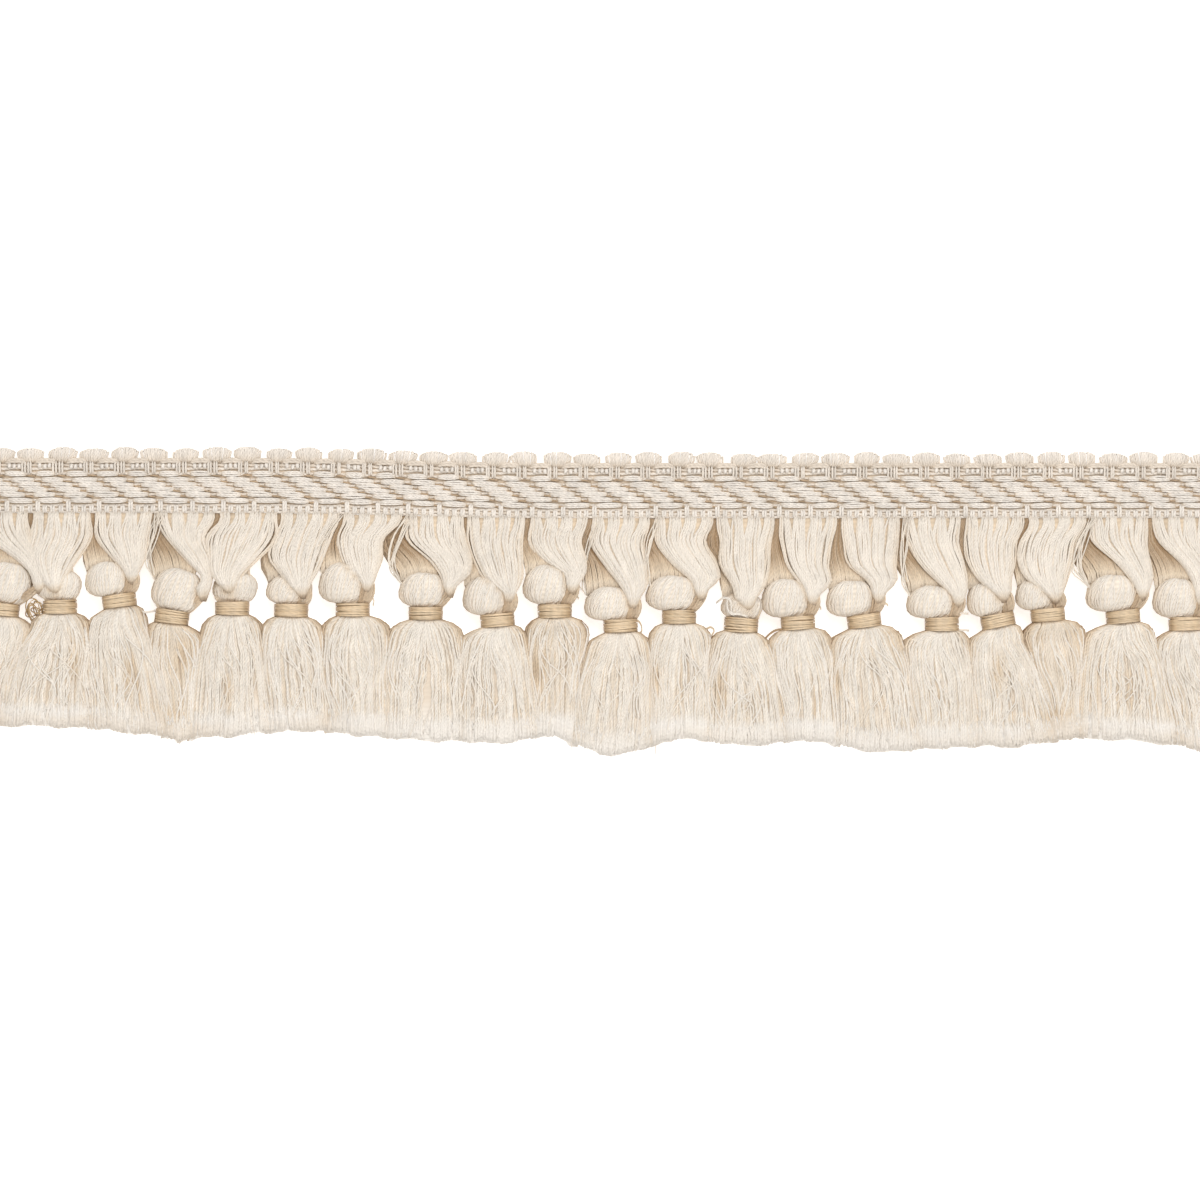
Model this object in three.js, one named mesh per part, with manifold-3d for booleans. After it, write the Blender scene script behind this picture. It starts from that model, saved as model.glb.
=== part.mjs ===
// Knotted tassel trim: a woven heading with a picot edge, and twenty hanks of yarn that leave
// its lower edge. Each hank is knotted on itself, bound at the neck and cut to a tassel.
// Millimetres, +Z up. The trim lies flat on its back: X runs along the heading, +Y points to
// the picot edge, and the origin is the middle of the heading's flat back.
import * as THREE from "three";
import { mergeVertices } from "three/addons/utils/BufferGeometryUtils.js";
import Module from "manifold-3d";

const wasm = await Module();
wasm.setup();

// Heading
const PICOT_PITCH = 7.28;
const PICOT_COUNT = 41;
const HEADING_LENGTH = PICOT_PITCH * PICOT_COUNT;
const HEADING_WIDTH = 12.2;
const SELVEDGE_THICKNESS = 1.2;
const FLOAT_THICKNESS = 2.2;
const DIMPLE_THICKNESS = 1.4;
const FLOAT_ROWS = 6;
const FLOAT_ROW_PITCH = 1.35;
const LOWEST_FLOAT_ROW = -3.65;
const COLUMNS_PER_FLOAT = 3;
// The left third of the heading lies a little higher than the rest.
const BOW_HEIGHT = 1.2;
const BOW_START = -80;
const BOW_END = -7;

// Picot loops: a stem at the heading's edge that opens into a fan
const PICOT_ROOT = -0.4;
const PICOT_STEM_WIDTH = 2.8;
const PICOT_FAN_WIDTH = 6.1;
const PICOT_SHOULDER = 1.2;
const PICOT_HEIGHT = 3.1;
const PICOT_BOTTOM = 0.3;
const PICOT_TOP = 2.3;
const PICOT_TOP_SCALE = 0.78;
const PICOT_UNEVENNESS = { width: 0.25, skew: 0.3, height: 0.2 };
const PICOT_CORNER = { across: 0.8, up: 0.85 };

// Hanks: clumps of yarn at the heading that merge into a leaf, and a band behind them
const HANK_PITCH = 14.65;
const CLEARANCE = 0.3;
const HANK_WIDTH = 13.2;
const CLUMPS = 4;
const CLUMP_TOP = { z: 1.75, width: 2.7, depth: 0.95 };
const CLUMP_END = { inside: 0.6, rise: 0.15, width: 2.3, depth: 0.8, spread: 0.96 };
const BACK_TOP = { z: 0.6, width: 12.4, depth: 0.8 };
const BACK_END = { over: -0.1, up: 0.5, z: 3.3, width: 0.5, depth: 1.6 };

// Knots, necks and bindings
const NECK_LEVEL = 3.9;
const NECK_HALF_WIDTH = 3.2;
const NECK_HALF_DEPTH = 2.6;
const KNOT_LEVEL = 4.1;
const KNOT_DEPTH = 7.4;
const KNOT_SIDES = 8;
const PINCH_RISE = 4.6;
const TUCK = { x: 0.8, rise: 2.6, width: 2.6, depth: 2.8 };
const BINDING_HEIGHT = 3.1;
const BINDING_ROOM = 0.4;
const BINDING_WALL = 0.4;
const BINDING_CROWN = 0.15;
const BINDING_SIDES = 8;

// Skirts: the neck opens to a shoulder, from whose end two layers of locks hang
const WIDEST_SHOULDER = 7;
const DROP_SHARE = 0.15;
const ROOT_DROP = 6.6;
const ROOT_SPREAD = 0.97;
const LOCK_WIDTH = 3.2;
const LOCK_GAP = 0.5;
const LOCK_GAP_SHARE = 0.04;
const FEWEST_LOCKS = 3;
const MOST_LOCKS = 6;
const END_UNEVENNESS = 0.7;
const SIDE_SHORTENING = 1.2;
const LOWER_LAYER = { inset: 0, under: 0, depth: 2.8 };
const UPPER_LAYER = { inset: 0.1, under: 3.2, depth: 2.3 };

// One row for each tassel, from left to right, in millimetres and degrees: how far the neck
// leans from the middle of its hank, how far it hangs below the heading's middle line, its
// tilt, the knot's width, height and place beside the neck, the place of the fold beside the
// neck, how far the skirt's end reaches left and right of the neck, and how far down it hangs.
const COLUMNS = [
  "lean", "drop", "tilt", "knotWidth", "knotHeight", "knotX", "pinchX", "left", "right", "hang",
];
const TASSELS = [
  [1.1, 29.0, -5, 11.7, 9.6, 0.5, 2.0, 11.7, -1.9, 27.6],
  [0.0, 28.4, 0, 10.8, 7.3, -0.6, -0.9, 14.6, 6.6, 28.4],
  [-0.7, 27.0, 8, 11.0, 8.0, -2.2, 3.8, 6.3, 10.8, 31.5],
  [-3.0, 30.8, -8, 11.0, 10.0, 0.7, 5.2, 0.9, 4.0, 29.6],
  [-3.5, 28.7, 0, 10.6, 7.0, 0.4, -0.3, 9.4, 8.2, 30.8],
  [-4.3, 29.2, -1, 10.8, 7.0, -0.8, 1.7, 4.9, 8.5, 28.5],
  [-4.5, 28.7, 0, 11.7, 9.4, -2.4, 3.7, 5.3, 6.9, 29.5],
  [-2.0, 29.2, 0, 12.0, 8.0, -0.6, 5.6, 9.5, 8.3, 29.7],
  [0.2, 30.4, 5, 10.8, 8.9, -2.6, 2.9, 7.9, 8.6, 28.9],
  [-1.0, 28.1, 1, 11.4, 8.5, -1.9, 4.0, 4.1, 3.9, 29.9],
  [-0.2, 31.6, 3, 11.7, 7.7, -2.7, 3.4, 10.9, 6.9, 29.7],
  [-1.1, 29.6, 0, 11.9, 8.2, -1.2, 4.6, 6.1, 6.1, 29.1],
  [-1.2, 31.5, -4, 9.8, 6.1, -0.4, 1.4, 7.7, 11.0, 29.1],
  [-2.5, 30.9, 4, 11.7, 8.9, -2.6, 3.9, 1.6, 8.7, 28.3],
  [-1.6, 30.4, 8, 11.7, 8.2, -2.7, 3.0, 6.1, 13.4, 30.9],
  [2.0, 31.2, 2, 11.7, 7.5, -2.6, 3.0, 4.2, 7.7, 29.8],
  [0.5, 30.4, 12, 10.2, 8.2, -1.5, 1.1, 4.7, 13.6, 30.4],
  [-2.4, 29.1, 6, 10.2, 7.5, -2.4, 2.3, -2.6, 7.3, 29.8],
  [0.6, 29.5, 5, 12.6, 8.5, -2.3, 4.2, 9.6, 13.4, 29.7],
  [0.7, 31.2, 2, 11.7, 9.2, -2.1, 3.5, 0.6, 12.2, 29.8],
].map((row) => Object.fromEntries(COLUMNS.map((name, k) => [name, row[k]])));

// Cross-sections of yarn, in shares of its width and depth
const BLOCK = [[0.5, -0.5], [0.5, 0.5], [-0.5, 0.5], [-0.5, -0.5]];
const DOMED = [[0.5, -0.5], [0.5, 0.2], [0.3, 0.5], [-0.3, 0.5], [-0.5, 0.2], [-0.5, -0.5]];
const ROUND = [[0.26, -0.5], [0.5, 0], [0.26, 0.5], [-0.26, 0.5], [-0.5, 0], [-0.26, -0.5]];
const SHOULDER = [[0.5, -0.5], [0.5, 0.22], [0.38, 0.5], [-0.38, 0.5], [-0.5, 0.22], [-0.5, -0.5]];

// Sections of the front hank between the heading and the fold: share of the way down, share
// of the way over to the fold, share of the belly, share of the hank's width, level and depth.
const LEAF = [
  { down: 0.18, over: 0, bulge: 0, width: 0.95, z: 2.15, depth: 1.4, square: true },
  { down: 0.45, over: 0.08, bulge: 0, width: 0.82, z: 4, depth: 1.7 },
  { down: 0.72, over: 0.85, bulge: 1, width: 0.53, z: 5.8, depth: 2 },
  { down: 0.88, over: 1, bulge: 1, width: 0.34, z: 6, depth: 2.2 },
  { down: 1, over: 1, bulge: 0, width: 0.2, z: 5.2, depth: 2.2 },
];
const BELLY_SHARE = 0.2;
const LARGEST_BELLY = 0.8;

// Sections of a neck and its shoulder: how far below the binding's middle, share of the
// shoulder's reach, underside, depth, share of the neck's tilt, and shape.
const NECK = [
  { down: -3, reach: -0.1, under: 1.9, depth: 4, turn: 1, shape: ROUND },
  { down: 1.9, reach: 0, under: 1.85, depth: 4.1, turn: 1, shape: ROUND },
  { down: 3.3, reach: 0.72, under: 0.9, depth: 5.6, turn: 0.5, shape: SHOULDER },
  { down: 5.2, reach: 0.98, under: 0.3, depth: 6.3, turn: 0, shape: SHOULDER },
  { down: 7.4, reach: 1, under: 0, depth: 6.4, turn: 0, shape: SHOULDER },
];

const COTTON = new THREE.MeshStandardMaterial({ color: 0xeee5d6, roughness: 0.85, metalness: 0 });
const TAPE = new THREE.MeshStandardMaterial({ color: 0xe2d8c6, roughness: 0.8, metalness: 0 });
const SATIN = new THREE.MeshStandardMaterial({ color: 0xc8b087, roughness: 0.45, metalness: 0 });

const mix = (from, to, share) => from + (to - from) * share;
const ease = (share) => share * share * (3 - 2 * share);
const clampShare = (share) => Math.min(1, Math.max(0, share));

// A fixed unevenness between -1 and 1 for the nth of many like things.
const uneven = (n, kind) => Math.sin(n * 12.9898 + kind * 78.233);

const bow = (x) => BOW_HEIGHT * (1 - ease(clampShare((x - BOW_START) / (BOW_END - BOW_START))));

// A closed three.js geometry as a solid.
function solidOf(geometry) {
  const bare = geometry.clone();
  bare.deleteAttribute("normal");
  bare.deleteAttribute("uv");
  const merged = mergeVertices(bare);
  return new wasm.Manifold(
    new wasm.Mesh({
      numProp: 3,
      vertProperties: new Float32Array(merged.getAttribute("position").array),
      triVerts: new Uint32Array(merged.index.array),
    }),
  );
}

function geometryOf(solid) {
  const mesh = solid.getMesh();
  const geometry = new THREE.BufferGeometry();
  geometry.setAttribute("position", new THREE.BufferAttribute(mesh.vertProperties, 3));
  geometry.setIndex(new THREE.BufferAttribute(mesh.triVerts, 1));
  geometry.computeVertexNormals();
  return geometry;
}

function geometryFrom(points, faces) {
  const geometry = new THREE.BufferGeometry();
  geometry.setAttribute("position", new THREE.Float32BufferAttribute(points.flat(), 3));
  geometry.setIndex(faces.flat());
  return geometry;
}

const join = (solids) => solids.reduce((whole, solid) => whole.add(solid));

// A closed solid through rings of points that go round the way from the first ring to the last.
function loft(rings) {
  const sides = rings[0].length;
  const last = (rings.length - 1) * sides;
  const faces = [];
  for (let ring = 0; ring < last; ring += sides) {
    for (let k = 0; k < sides; k++) {
      const next = (k + 1) % sides;
      faces.push([ring + k, ring + next, ring + sides + next]);
      faces.push([ring + k, ring + sides + next, ring + sides + k]);
    }
  }
  for (let k = 1; k < sides - 1; k++) {
    faces.push([0, k + 1, k]);
    faces.push([last, last + k, last + k + 1]);
  }
  return solidOf(geometryFrom(rings.flat(), faces));
}

const DOWN = new THREE.Vector2(0, -1);

// A band of yarn through stations { x, y, z, width, depth }, flat to the surface it lies on.
// Its sections are square to the way it runs, or to the heading where a station is square.
function band(stations, section) {
  const rings = stations.map((at, k) => {
    const before = stations[Math.max(0, k - 1)];
    const after = stations[Math.min(stations.length - 1, k + 1)];
    const along = at.square ? DOWN : new THREE.Vector2(after.x - before.x, after.y - before.y).normalize();
    return section.map(([across, up]) => [
      at.x - along.y * across * at.width,
      at.y + along.x * across * at.width,
      at.z + up * at.depth,
    ]);
  });
  return loft(rings);
}

// The heading's thickness at a column and a row of floats: one column in three is a dimple,
// a column further left in each higher row, so that the floats form diagonals.
const floatThickness = (column, row) =>
  (column + row) % COLUMNS_PER_FLOAT === 0 ? DIMPLE_THICKNESS : FLOAT_THICKNESS;

function wovenBand() {
  const columns = PICOT_COUNT * COLUMNS_PER_FLOAT;
  const half = HEADING_WIDTH / 2;
  const heights = [-half];
  for (let row = 0; row < FLOAT_ROWS; row++) heights.push(LOWEST_FLOAT_ROW + row * FLOAT_ROW_PITCH);
  heights.push(half);
  const top = heights.length - 1;
  const points = [];
  for (let column = 0; column <= columns; column++) {
    const x = mix(-HEADING_LENGTH / 2, HEADING_LENGTH / 2, column / columns);
    points.push([x, bow(x) - half, 0]);
    heights.forEach((y, line) => {
      const selvedge = line === 0 || line === top;
      points.push([x, bow(x) + y, selvedge ? SELVEDGE_THICKNESS : floatThickness(column, line - 1)]);
    });
    points.push([x, bow(x) + half, 0]);
  }
  const around = heights.length + 2;
  const faces = [];
  for (let column = 0; column < columns; column++) {
    for (let k = 0; k < around; k++) {
      const here = column * around;
      const next = (k + 1) % around;
      faces.push([here + k, here + around + k, here + around + next]);
      faces.push([here + k, here + around + next, here + next]);
    }
  }
  const end = columns * around;
  for (let k = 1; k < around - 1; k++) {
    faces.push([0, k, k + 1]);
    faces.push([end, end + k + 1, end + k]);
  }
  return solidOf(geometryFrom(points, faces));
}

function picot(n) {
  const centre = (n - (PICOT_COUNT - 1) / 2) * PICOT_PITCH;
  const edge = bow(centre) + HEADING_WIDTH / 2;
  const fan = PICOT_FAN_WIDTH / 2 + PICOT_UNEVENNESS.width * uneven(n, 1);
  const stem = PICOT_STEM_WIDTH / 2;
  const skew = PICOT_UNEVENNESS.skew * uneven(n, 2);
  const height = PICOT_HEIGHT + PICOT_UNEVENNESS.height * uneven(n, 3);
  const corner = { across: fan * PICOT_CORNER.across, up: height * PICOT_CORNER.up };
  const outline = [
    [-stem, PICOT_ROOT],
    [stem, PICOT_ROOT],
    [fan, PICOT_SHOULDER],
    [skew + corner.across, corner.up],
    [skew, height],
    [skew - corner.across, corner.up],
    [-fan, PICOT_SHOULDER],
  ];
  const ring = (scale, z) => outline.map(([u, v]) => [centre + u * scale, edge + v * scale, z]);
  return loft([ring(1, PICOT_BOTTOM), ring(PICOT_TOP_SCALE, PICOT_TOP)]);
}

function heading() {
  const picots = Array.from({ length: PICOT_COUNT }, (_, n) => picot(n));
  return join([wovenBand(), ...picots]);
}

const hankMiddle = (n) => (n - (TASSELS.length - 1) / 2) * HANK_PITCH;

function neckOf(n) {
  const x = hankMiddle(n) + TASSELS[n].lean;
  return { x, y: bow(x) - TASSELS[n].drop };
}

// A geometry placed by the neck of tassel n, turned by its tilt.
function atNeck(geometry, n, { x = 0, y = 0, z }) {
  const neck = neckOf(n);
  const turned = geometry.clone().translate(x, y, 0);
  turned.rotateZ(THREE.MathUtils.degToRad(TASSELS[n].tilt));
  return turned.translate(neck.x, neck.y, z);
}

// Where the hank's yarn leaves the heading, a little clear of it
const hankTop = (n) => bow(hankMiddle(n) + HANK_PITCH / 2) - HEADING_WIDTH / 2 - CLEARANCE;

// The front hank: four clumps leave the heading, merge into a leaf, and dive at the fold.
function frontHank(n) {
  const { pinchX } = TASSELS[n];
  const neck = neckOf(n);
  const middle = hankMiddle(n);
  const top = hankTop(n);
  const pinch = { x: neck.x + pinchX, y: neck.y + PINCH_RISE };
  const belly = Math.min(LARGEST_BELLY, Math.max(0, pinchX * BELLY_SHARE));
  const stations = LEAF.map((row) => ({
    ...row,
    x: mix(middle, pinch.x, row.over) + row.bulge * belly,
    y: mix(top, pinch.y, row.down),
    width: row.width * HANK_WIDTH,
  }));
  const tuck = { ...TUCK, x: neck.x + TUCK.x, y: neck.y + TUCK.rise, z: NECK_LEVEL, square: true };
  const joint = stations[0];
  const clumps = [];
  for (let k = 0; k < CLUMPS; k++) {
    const across = (k + 0.5) / CLUMPS - 0.5;
    const root = { ...CLUMP_TOP, x: middle + across * HANK_WIDTH, y: top, square: true };
    const end = {
      ...CLUMP_END,
      x: joint.x + across * joint.width * CLUMP_END.spread,
      y: joint.y - CLUMP_END.inside,
      z: joint.z + CLUMP_END.rise,
      square: true,
    };
    clumps.push(band([root, end], BLOCK));
  }
  return [band([...stations, tuck], DOMED), ...clumps];
}

// The back hank: one band that passes behind the leaf and turns up into the knot's left side.
function backHank(n) {
  const { knotX, knotWidth, knotHeight } = TASSELS[n];
  const neck = neckOf(n);
  const top = { ...BACK_TOP, x: hankMiddle(n), y: hankTop(n), square: true };
  const end = {
    ...BACK_END,
    x: neck.x + knotX + knotWidth * BACK_END.over,
    y: neck.y + BINDING_HEIGHT / 2 + CLEARANCE + knotHeight * BACK_END.up,
    width: knotWidth * BACK_END.width,
  };
  return band([top, end], BLOCK);
}

function knot(n) {
  const { knotX, knotWidth, knotHeight } = TASSELS[n];
  const ball = new THREE.SphereGeometry(1, KNOT_SIDES, 4);
  ball.rotateX(Math.PI / 2).scale(knotWidth / 2, knotHeight / 2, KNOT_DEPTH / 2);
  const y = BINDING_HEIGHT / 2 + CLEARANCE + knotHeight / 2;
  return solidOf(atNeck(ball, n, { x: knotX, y, z: KNOT_LEVEL }));
}

// How far the shoulder of tassel n may reach towards a neighbour, less where their drops differ.
function shoulderReach(n, side) {
  if (!TASSELS[n + side]) return WIDEST_SHOULDER;
  const here = neckOf(n);
  const there = neckOf(n + side);
  const room = Math.abs(there.x - here.x) / 2 - LOCK_GAP / 2 - DROP_SHARE * Math.abs(there.y - here.y);
  return Math.min(WIDEST_SHOULDER, room);
}

// The neck under the binding, opening below it to the skirt's shoulder.
function neckAndShoulder(n, left, right) {
  const neck = neckOf(n);
  const tilt = THREE.MathUtils.degToRad(TASSELS[n].tilt);
  const rings = NECK.map(({ down, reach, under, depth, turn, shape }) => {
    const from = -mix(NECK_HALF_WIDTH, left, reach);
    const to = mix(NECK_HALF_WIDTH, right, reach);
    const slope = Math.tan(tilt) * turn;
    return shape.map(([across, up]) => {
      const x = mix(from, to, across + 0.5);
      return [neck.x + x + slope * down, neck.y - down + slope * x, under + (up + 0.5) * depth];
    });
  });
  return loft(rings);
}

// One layer of the skirt's locks, which leave the shoulder's end and lie level side by side.
function lockLayer(n, left, right, count, { inset, under, depth }) {
  const row = TASSELS[n];
  const neck = neckOf(n);
  const gap = Math.min(LOCK_GAP, (row.left + row.right) * LOCK_GAP_SHARE);
  const slot = (from, to, k) => {
    const width = ((to - from) * (1 - 2 * inset)) / count;
    return { x: neck.x + mix(from, to, inset) + width * (k + 0.5), width: width - gap };
  };
  const locks = [];
  for (let k = 0; k < count; k++) {
    const share = (k + 0.5) / count;
    const ragged = END_UNEVENNESS * (1 + uneven(n * COLUMNS.length + k, count));
    const short = ragged + SIDE_SHORTENING * Math.abs(share - 0.5);
    const z = under + depth / 2;
    const root = { ...slot(-left * ROOT_SPREAD, right * ROOT_SPREAD, k), y: neck.y - ROOT_DROP, z, depth };
    const end = { ...slot(-row.left, row.right, k), y: neck.y - row.hang + short, z, depth };
    locks.push(band([root, end], BLOCK));
  }
  return locks;
}

function skirt(n) {
  const row = TASSELS[n];
  const left = shoulderReach(n, -1);
  const right = shoulderReach(n, 1);
  const count = Math.min(MOST_LOCKS, Math.max(FEWEST_LOCKS, Math.round((row.left + row.right) / LOCK_WIDTH)));
  return [
    neckAndShoulder(n, left, right),
    ...lockLayer(n, left, right, count, LOWER_LAYER),
    ...lockLayer(n, left, right, count - 1, UPPER_LAYER),
  ];
}

function tassel(n) {
  return join([knot(n), ...frontHank(n), backHank(n), ...skirt(n)]);
}

// The binding: a crowned ring of wraps, a little clear of the neck.
function binding(n) {
  const half = BINDING_HEIGHT / 2;
  const width = NECK_HALF_WIDTH + BINDING_ROOM;
  const depth = NECK_HALF_DEPTH + BINDING_ROOM;
  const outer = (width + BINDING_WALL) / width;
  const crown = outer + BINDING_CROWN / width;
  const profile = [
    new THREE.Vector2(1, -half),
    new THREE.Vector2(outer, -half),
    new THREE.Vector2(crown, 0),
    new THREE.Vector2(outer, half),
    new THREE.Vector2(1, half),
    new THREE.Vector2(1, -half),
  ];
  const ring = new THREE.LatheGeometry(profile, BINDING_SIDES);
  ring.scale(width, 1, depth);
  return solidOf(atNeck(ring, n, { z: NECK_LEVEL }));
}

const trim = new THREE.Group();

function addPiece(name, solid, material) {
  const piece = new THREE.Mesh(geometryOf(solid), material);
  piece.name = name;
  trim.add(piece);
}

addPiece("heading", heading(), TAPE);
TASSELS.forEach((_, n) => {
  const number = String(n + 1).padStart(2, "0");
  addPiece(`tassel_${number}`, tassel(n), COTTON);
  addPiece(`binding_${number}`, binding(n), SATIN);
});

export default trim;
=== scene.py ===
"""A knotted tassel trim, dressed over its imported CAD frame.

Every yarn is a thin tube that follows its own path, made in bulk with numpy. Lengths are in
millimetres until a mesh is made. X runs along the heading, +Y points to the picot edge, and
+Z points up from the floor that the trim lies on.
"""

import bpy
import math
import numpy as np
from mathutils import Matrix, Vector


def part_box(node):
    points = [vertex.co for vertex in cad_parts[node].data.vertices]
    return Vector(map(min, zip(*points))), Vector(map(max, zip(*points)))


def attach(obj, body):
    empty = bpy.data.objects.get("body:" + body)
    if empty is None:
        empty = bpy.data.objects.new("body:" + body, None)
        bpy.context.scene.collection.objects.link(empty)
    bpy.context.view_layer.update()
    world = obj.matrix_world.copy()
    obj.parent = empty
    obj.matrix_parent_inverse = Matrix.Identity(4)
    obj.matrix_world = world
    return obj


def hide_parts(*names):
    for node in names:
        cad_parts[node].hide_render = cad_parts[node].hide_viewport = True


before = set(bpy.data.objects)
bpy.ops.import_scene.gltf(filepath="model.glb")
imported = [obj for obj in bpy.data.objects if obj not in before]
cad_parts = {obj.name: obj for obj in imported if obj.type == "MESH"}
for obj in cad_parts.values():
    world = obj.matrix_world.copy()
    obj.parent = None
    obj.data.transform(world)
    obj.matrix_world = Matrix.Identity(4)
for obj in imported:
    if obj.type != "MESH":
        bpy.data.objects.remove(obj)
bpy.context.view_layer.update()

MM = 0.001
TASSEL_COUNT = 20
SEED = 41

# The heading: its picots, its woven width without them, and the bow that it lies in
PICOT_PITCH = 7.28
PICOT_COUNT = 41
HEADING_LENGTH = PICOT_PITCH * PICOT_COUNT
HEADING_WIDTH = 12.2
HALF_LENGTH = HEADING_LENGTH / 2
HALF_WIDTH = HEADING_WIDTH / 2
BOW_HEIGHT = 1.2
BOW_START = -80.0
BOW_END = -7.0
SLAB_THICKNESS = 1.2
FLOOR_CLEARANCE = 0.02
HANK_PITCH = 14.65
HANK_HALF = 7.4

# Floats: the level of each row and of each ground yarn below, how far a row is shifted along
# from the one above it, and the yarn ends, size and top of a float
FLOAT_ROWS = (2.95, 1.5, 0.35, -0.75, -1.95, -3.35)
GROUND_ROWS = FLOAT_ROWS + (4.2, 5.0, -4.5, -5.3, -5.95)
FLOAT_SHIFT = 1.7
FLOAT_LENGTH = 7.1
FLOAT_ENDS = 3
FLOAT_HALF_WIDTH = 0.44
FLOAT_RADIUS = 0.31
FLOAT_TOP = 2.0
SLIT_RISE = 0.42
BAR_TOPS = (-3.2, -4.4, -4.4, -4.4)
FAN_YARNS = 15
FAN_WIDTH = 3.05
FAN_HEIGHT = 3.4

# Knots, necks and bindings, as in the CAD model
NECK_LEVEL = 3.9
NECK_HALF_WIDTH = 3.2
NECK_HALF_DEPTH = 2.6
KNOT_LEVEL = 4.1
KNOT_DEPTH = 7.4
VEE_KNOT_DEPTH = 6.2
KNOT_POWER = 2.5
BINDING_HEIGHT = 3.1
BINDING_GAP = 0.3
BINDING_ROOM = 0.55
SKIRT_OVERLAP = 1.4
SHOULDER_REACH = 9.2
SKIRT_ROOM = 0.2
OUTER_SPACING = 15
HEM_RISE = 0.35

# Tassels whose leaf ends in a vee in the middle of the knot; those whose skirt lies behind its
# neighbours', by how much, which is also how much painted shade it gets, and how far that much
# lowers it; and those with loose yarns beside the leaf, how many there are and how far they bow
# out
VEES = (2, 5, 6, 13, 17, 18)
BEHIND = {4: 0.16, 10: 0.16, 18: 0.2}
BEHIND_DROP = 6.0
LOOPS = {
    4: (7, 2.2), 7: (4, 1.2), 8: (8, 3.4), 11: (4, 1.4), 12: (4, 1.0), 16: (6, 2.0), 19: (9, 4.0)
}

# The yarns: how many each part has, the front layer first. A layer of the leaf also has its
# drop, its painted shade for lying below the front and its inset from the leaf's edges; one of the
# skirt has its inset, its painted shade for lying deeper and the points along each yarn
SKIRT_POWER = 2.5
YARN_RADIUS = 0.235
FINE_RADIUS = 0.19
LEAF_LAYERS = ((35, 0.0, 0.0, 0.0), (22, 0.14, 0.14, 0.02))
SKIRT_LAYERS = ((66, 0.0, 0.0, 17), (52, 0.1, 0.26, 11))
SKIRT_CLUMPS = 11
BACK_YARNS = 34
KNOT_YARNS = 72
NECK_YARNS = 26
TUCK_YARNS = 34
STRAY_YARNS = 20
END_FIBRES = 200
BINDING_TURNS = 9

# One row for each tassel, from left to right, in millimetres and degrees: the neck's tilt; the
# knot's width, height and place beside the neck; how far the skirt's end reaches left and right
# of the neck, and how far down it hangs. The rest is the leaf of yarn in front, beside its
# hank's middle: its two edges at the upper, middle and lower levels, the tip where it dives
# into the knot, and how far that lies above the binding's middle.
COLUMNS = (
    "tilt", "knot_width", "knot_height", "knot_x", "left", "right", "hang",
    "left_a", "right_a", "left_b", "right_b", "left_c", "right_c", "tip", "tip_rise",
)
ROWS = (
    (-5, 11.7, 9.6, 0.5, 11.7, -1.9, 28.5, -4.2, 7.6, 4.6, 10.5, 7.7, 10.8, 10.0, 4.5),
    (0, 10.8, 7.3, -0.6, 14.6, 6.6, 28.7, -7.5, 7.5, -7.7, 4.2, -6.3, 2.8, -0.7, 3.6),
    (8, 11.0, 8.0, -2.2, 6.3, 10.8, 31.7, -6.6, 6.3, -1.9, 5.4, 0.6, 4.6, 2.3, 4.5),
    (-8, 12.0, 10.0, 0.1, 0.9, 4.0, 30.1, -5.1, 4.8, 0.3, 6.4, 4.2, 6.6, 4.4, 4.5),
    (0, 10.6, 7.0, 0.4, 9.4, 8.2, 30.8, -9.9, 7.2, -9.4, 2.5, -8.9, 0.1, -3.8, 3.8),
    (-1, 10.8, 7.0, -0.8, 4.9, 8.5, 28.9, -8.5, 5.5, -9.3, 3.4, -6.9, 2.0, -1.5, 3.6),
    (0, 11.7, 9.4, -2.4, 5.3, 6.9, 30.3, -8.2, 3.3, -6.8, 2.4, -5.1, 1.6, -1.1, 4.5),
    (0, 12.0, 8.0, -0.6, 9.5, 8.3, 30.6, -6.9, 7.5, -0.5, 8.9, 1.5, 8.2, 3.7, 4.5),
    (5, 10.8, 8.9, -2.6, 7.9, 8.6, 29.8, -7.0, 6.2, -4.8, 6.4, -2.0, 5.9, 2.9, 4.5),
    (1, 11.4, 9.3, -1.9, 4.1, 3.9, 29.9, -7.3, 5.6, -2.3, 6.8, 1.0, 6.4, 3.1, 4.5),
    (3, 11.7, 7.7, -2.7, 10.9, 6.9, 31.6, -7.8, 5.5, -4.1, 6.0, 0.0, 5.8, 2.7, 4.5),
    (0, 12.9, 8.2, -1.6, 6.1, 6.1, 29.1, -6.8, 5.2, -2.5, 7.8, 1.4, 8.2, 4.0, 4.5),
    (-4, 9.8, 6.1, -0.4, 7.7, 11.0, 29.1, -6.4, 5.8, -6.3, 5.4, -3.3, 4.0, 0.4, 4.0),
    (4, 11.7, 8.9, -2.6, 1.6, 8.7, 28.3, -6.7, 6.0, -5.3, 4.8, -2.0, 5.0, 0.8, 4.5),
    (8, 11.7, 8.2, -2.7, 6.1, 13.4, 31.8, -6.6, 6.6, -5.2, 5.6, -0.6, 5.6, 1.6, 4.5),
    (2, 11.7, 7.5, -2.6, 4.2, 7.7, 29.8, -6.2, 6.3, -3.1, 7.7, 2.0, 7.9, 5.6, 4.5),
    (12, 10.2, 8.2, -1.5, 4.7, 13.6, 30.4, -7.4, 5.2, -6.3, 4.3, -3.5, 3.3, 1.5, 5.0),
    (6, 10.2, 7.5, -2.4, -2.6, 7.3, 29.8, -8.9, 4.7, -9.6, 3.1, -8.0, 2.1, -0.9, 3.4),
    (5, 12.6, 8.5, -2.3, 9.6, 13.4, 29.7, -6.9, 6.7, -0.8, 7.2, 1.9, 7.4, 4.8, 4.5),
    (2, 11.7, 9.2, -2.1, 0.6, 12.2, 31.1, -6.1, 6.9, -0.4, 8.5, 2.0, 8.3, 4.0, 4.5),
)
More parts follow.
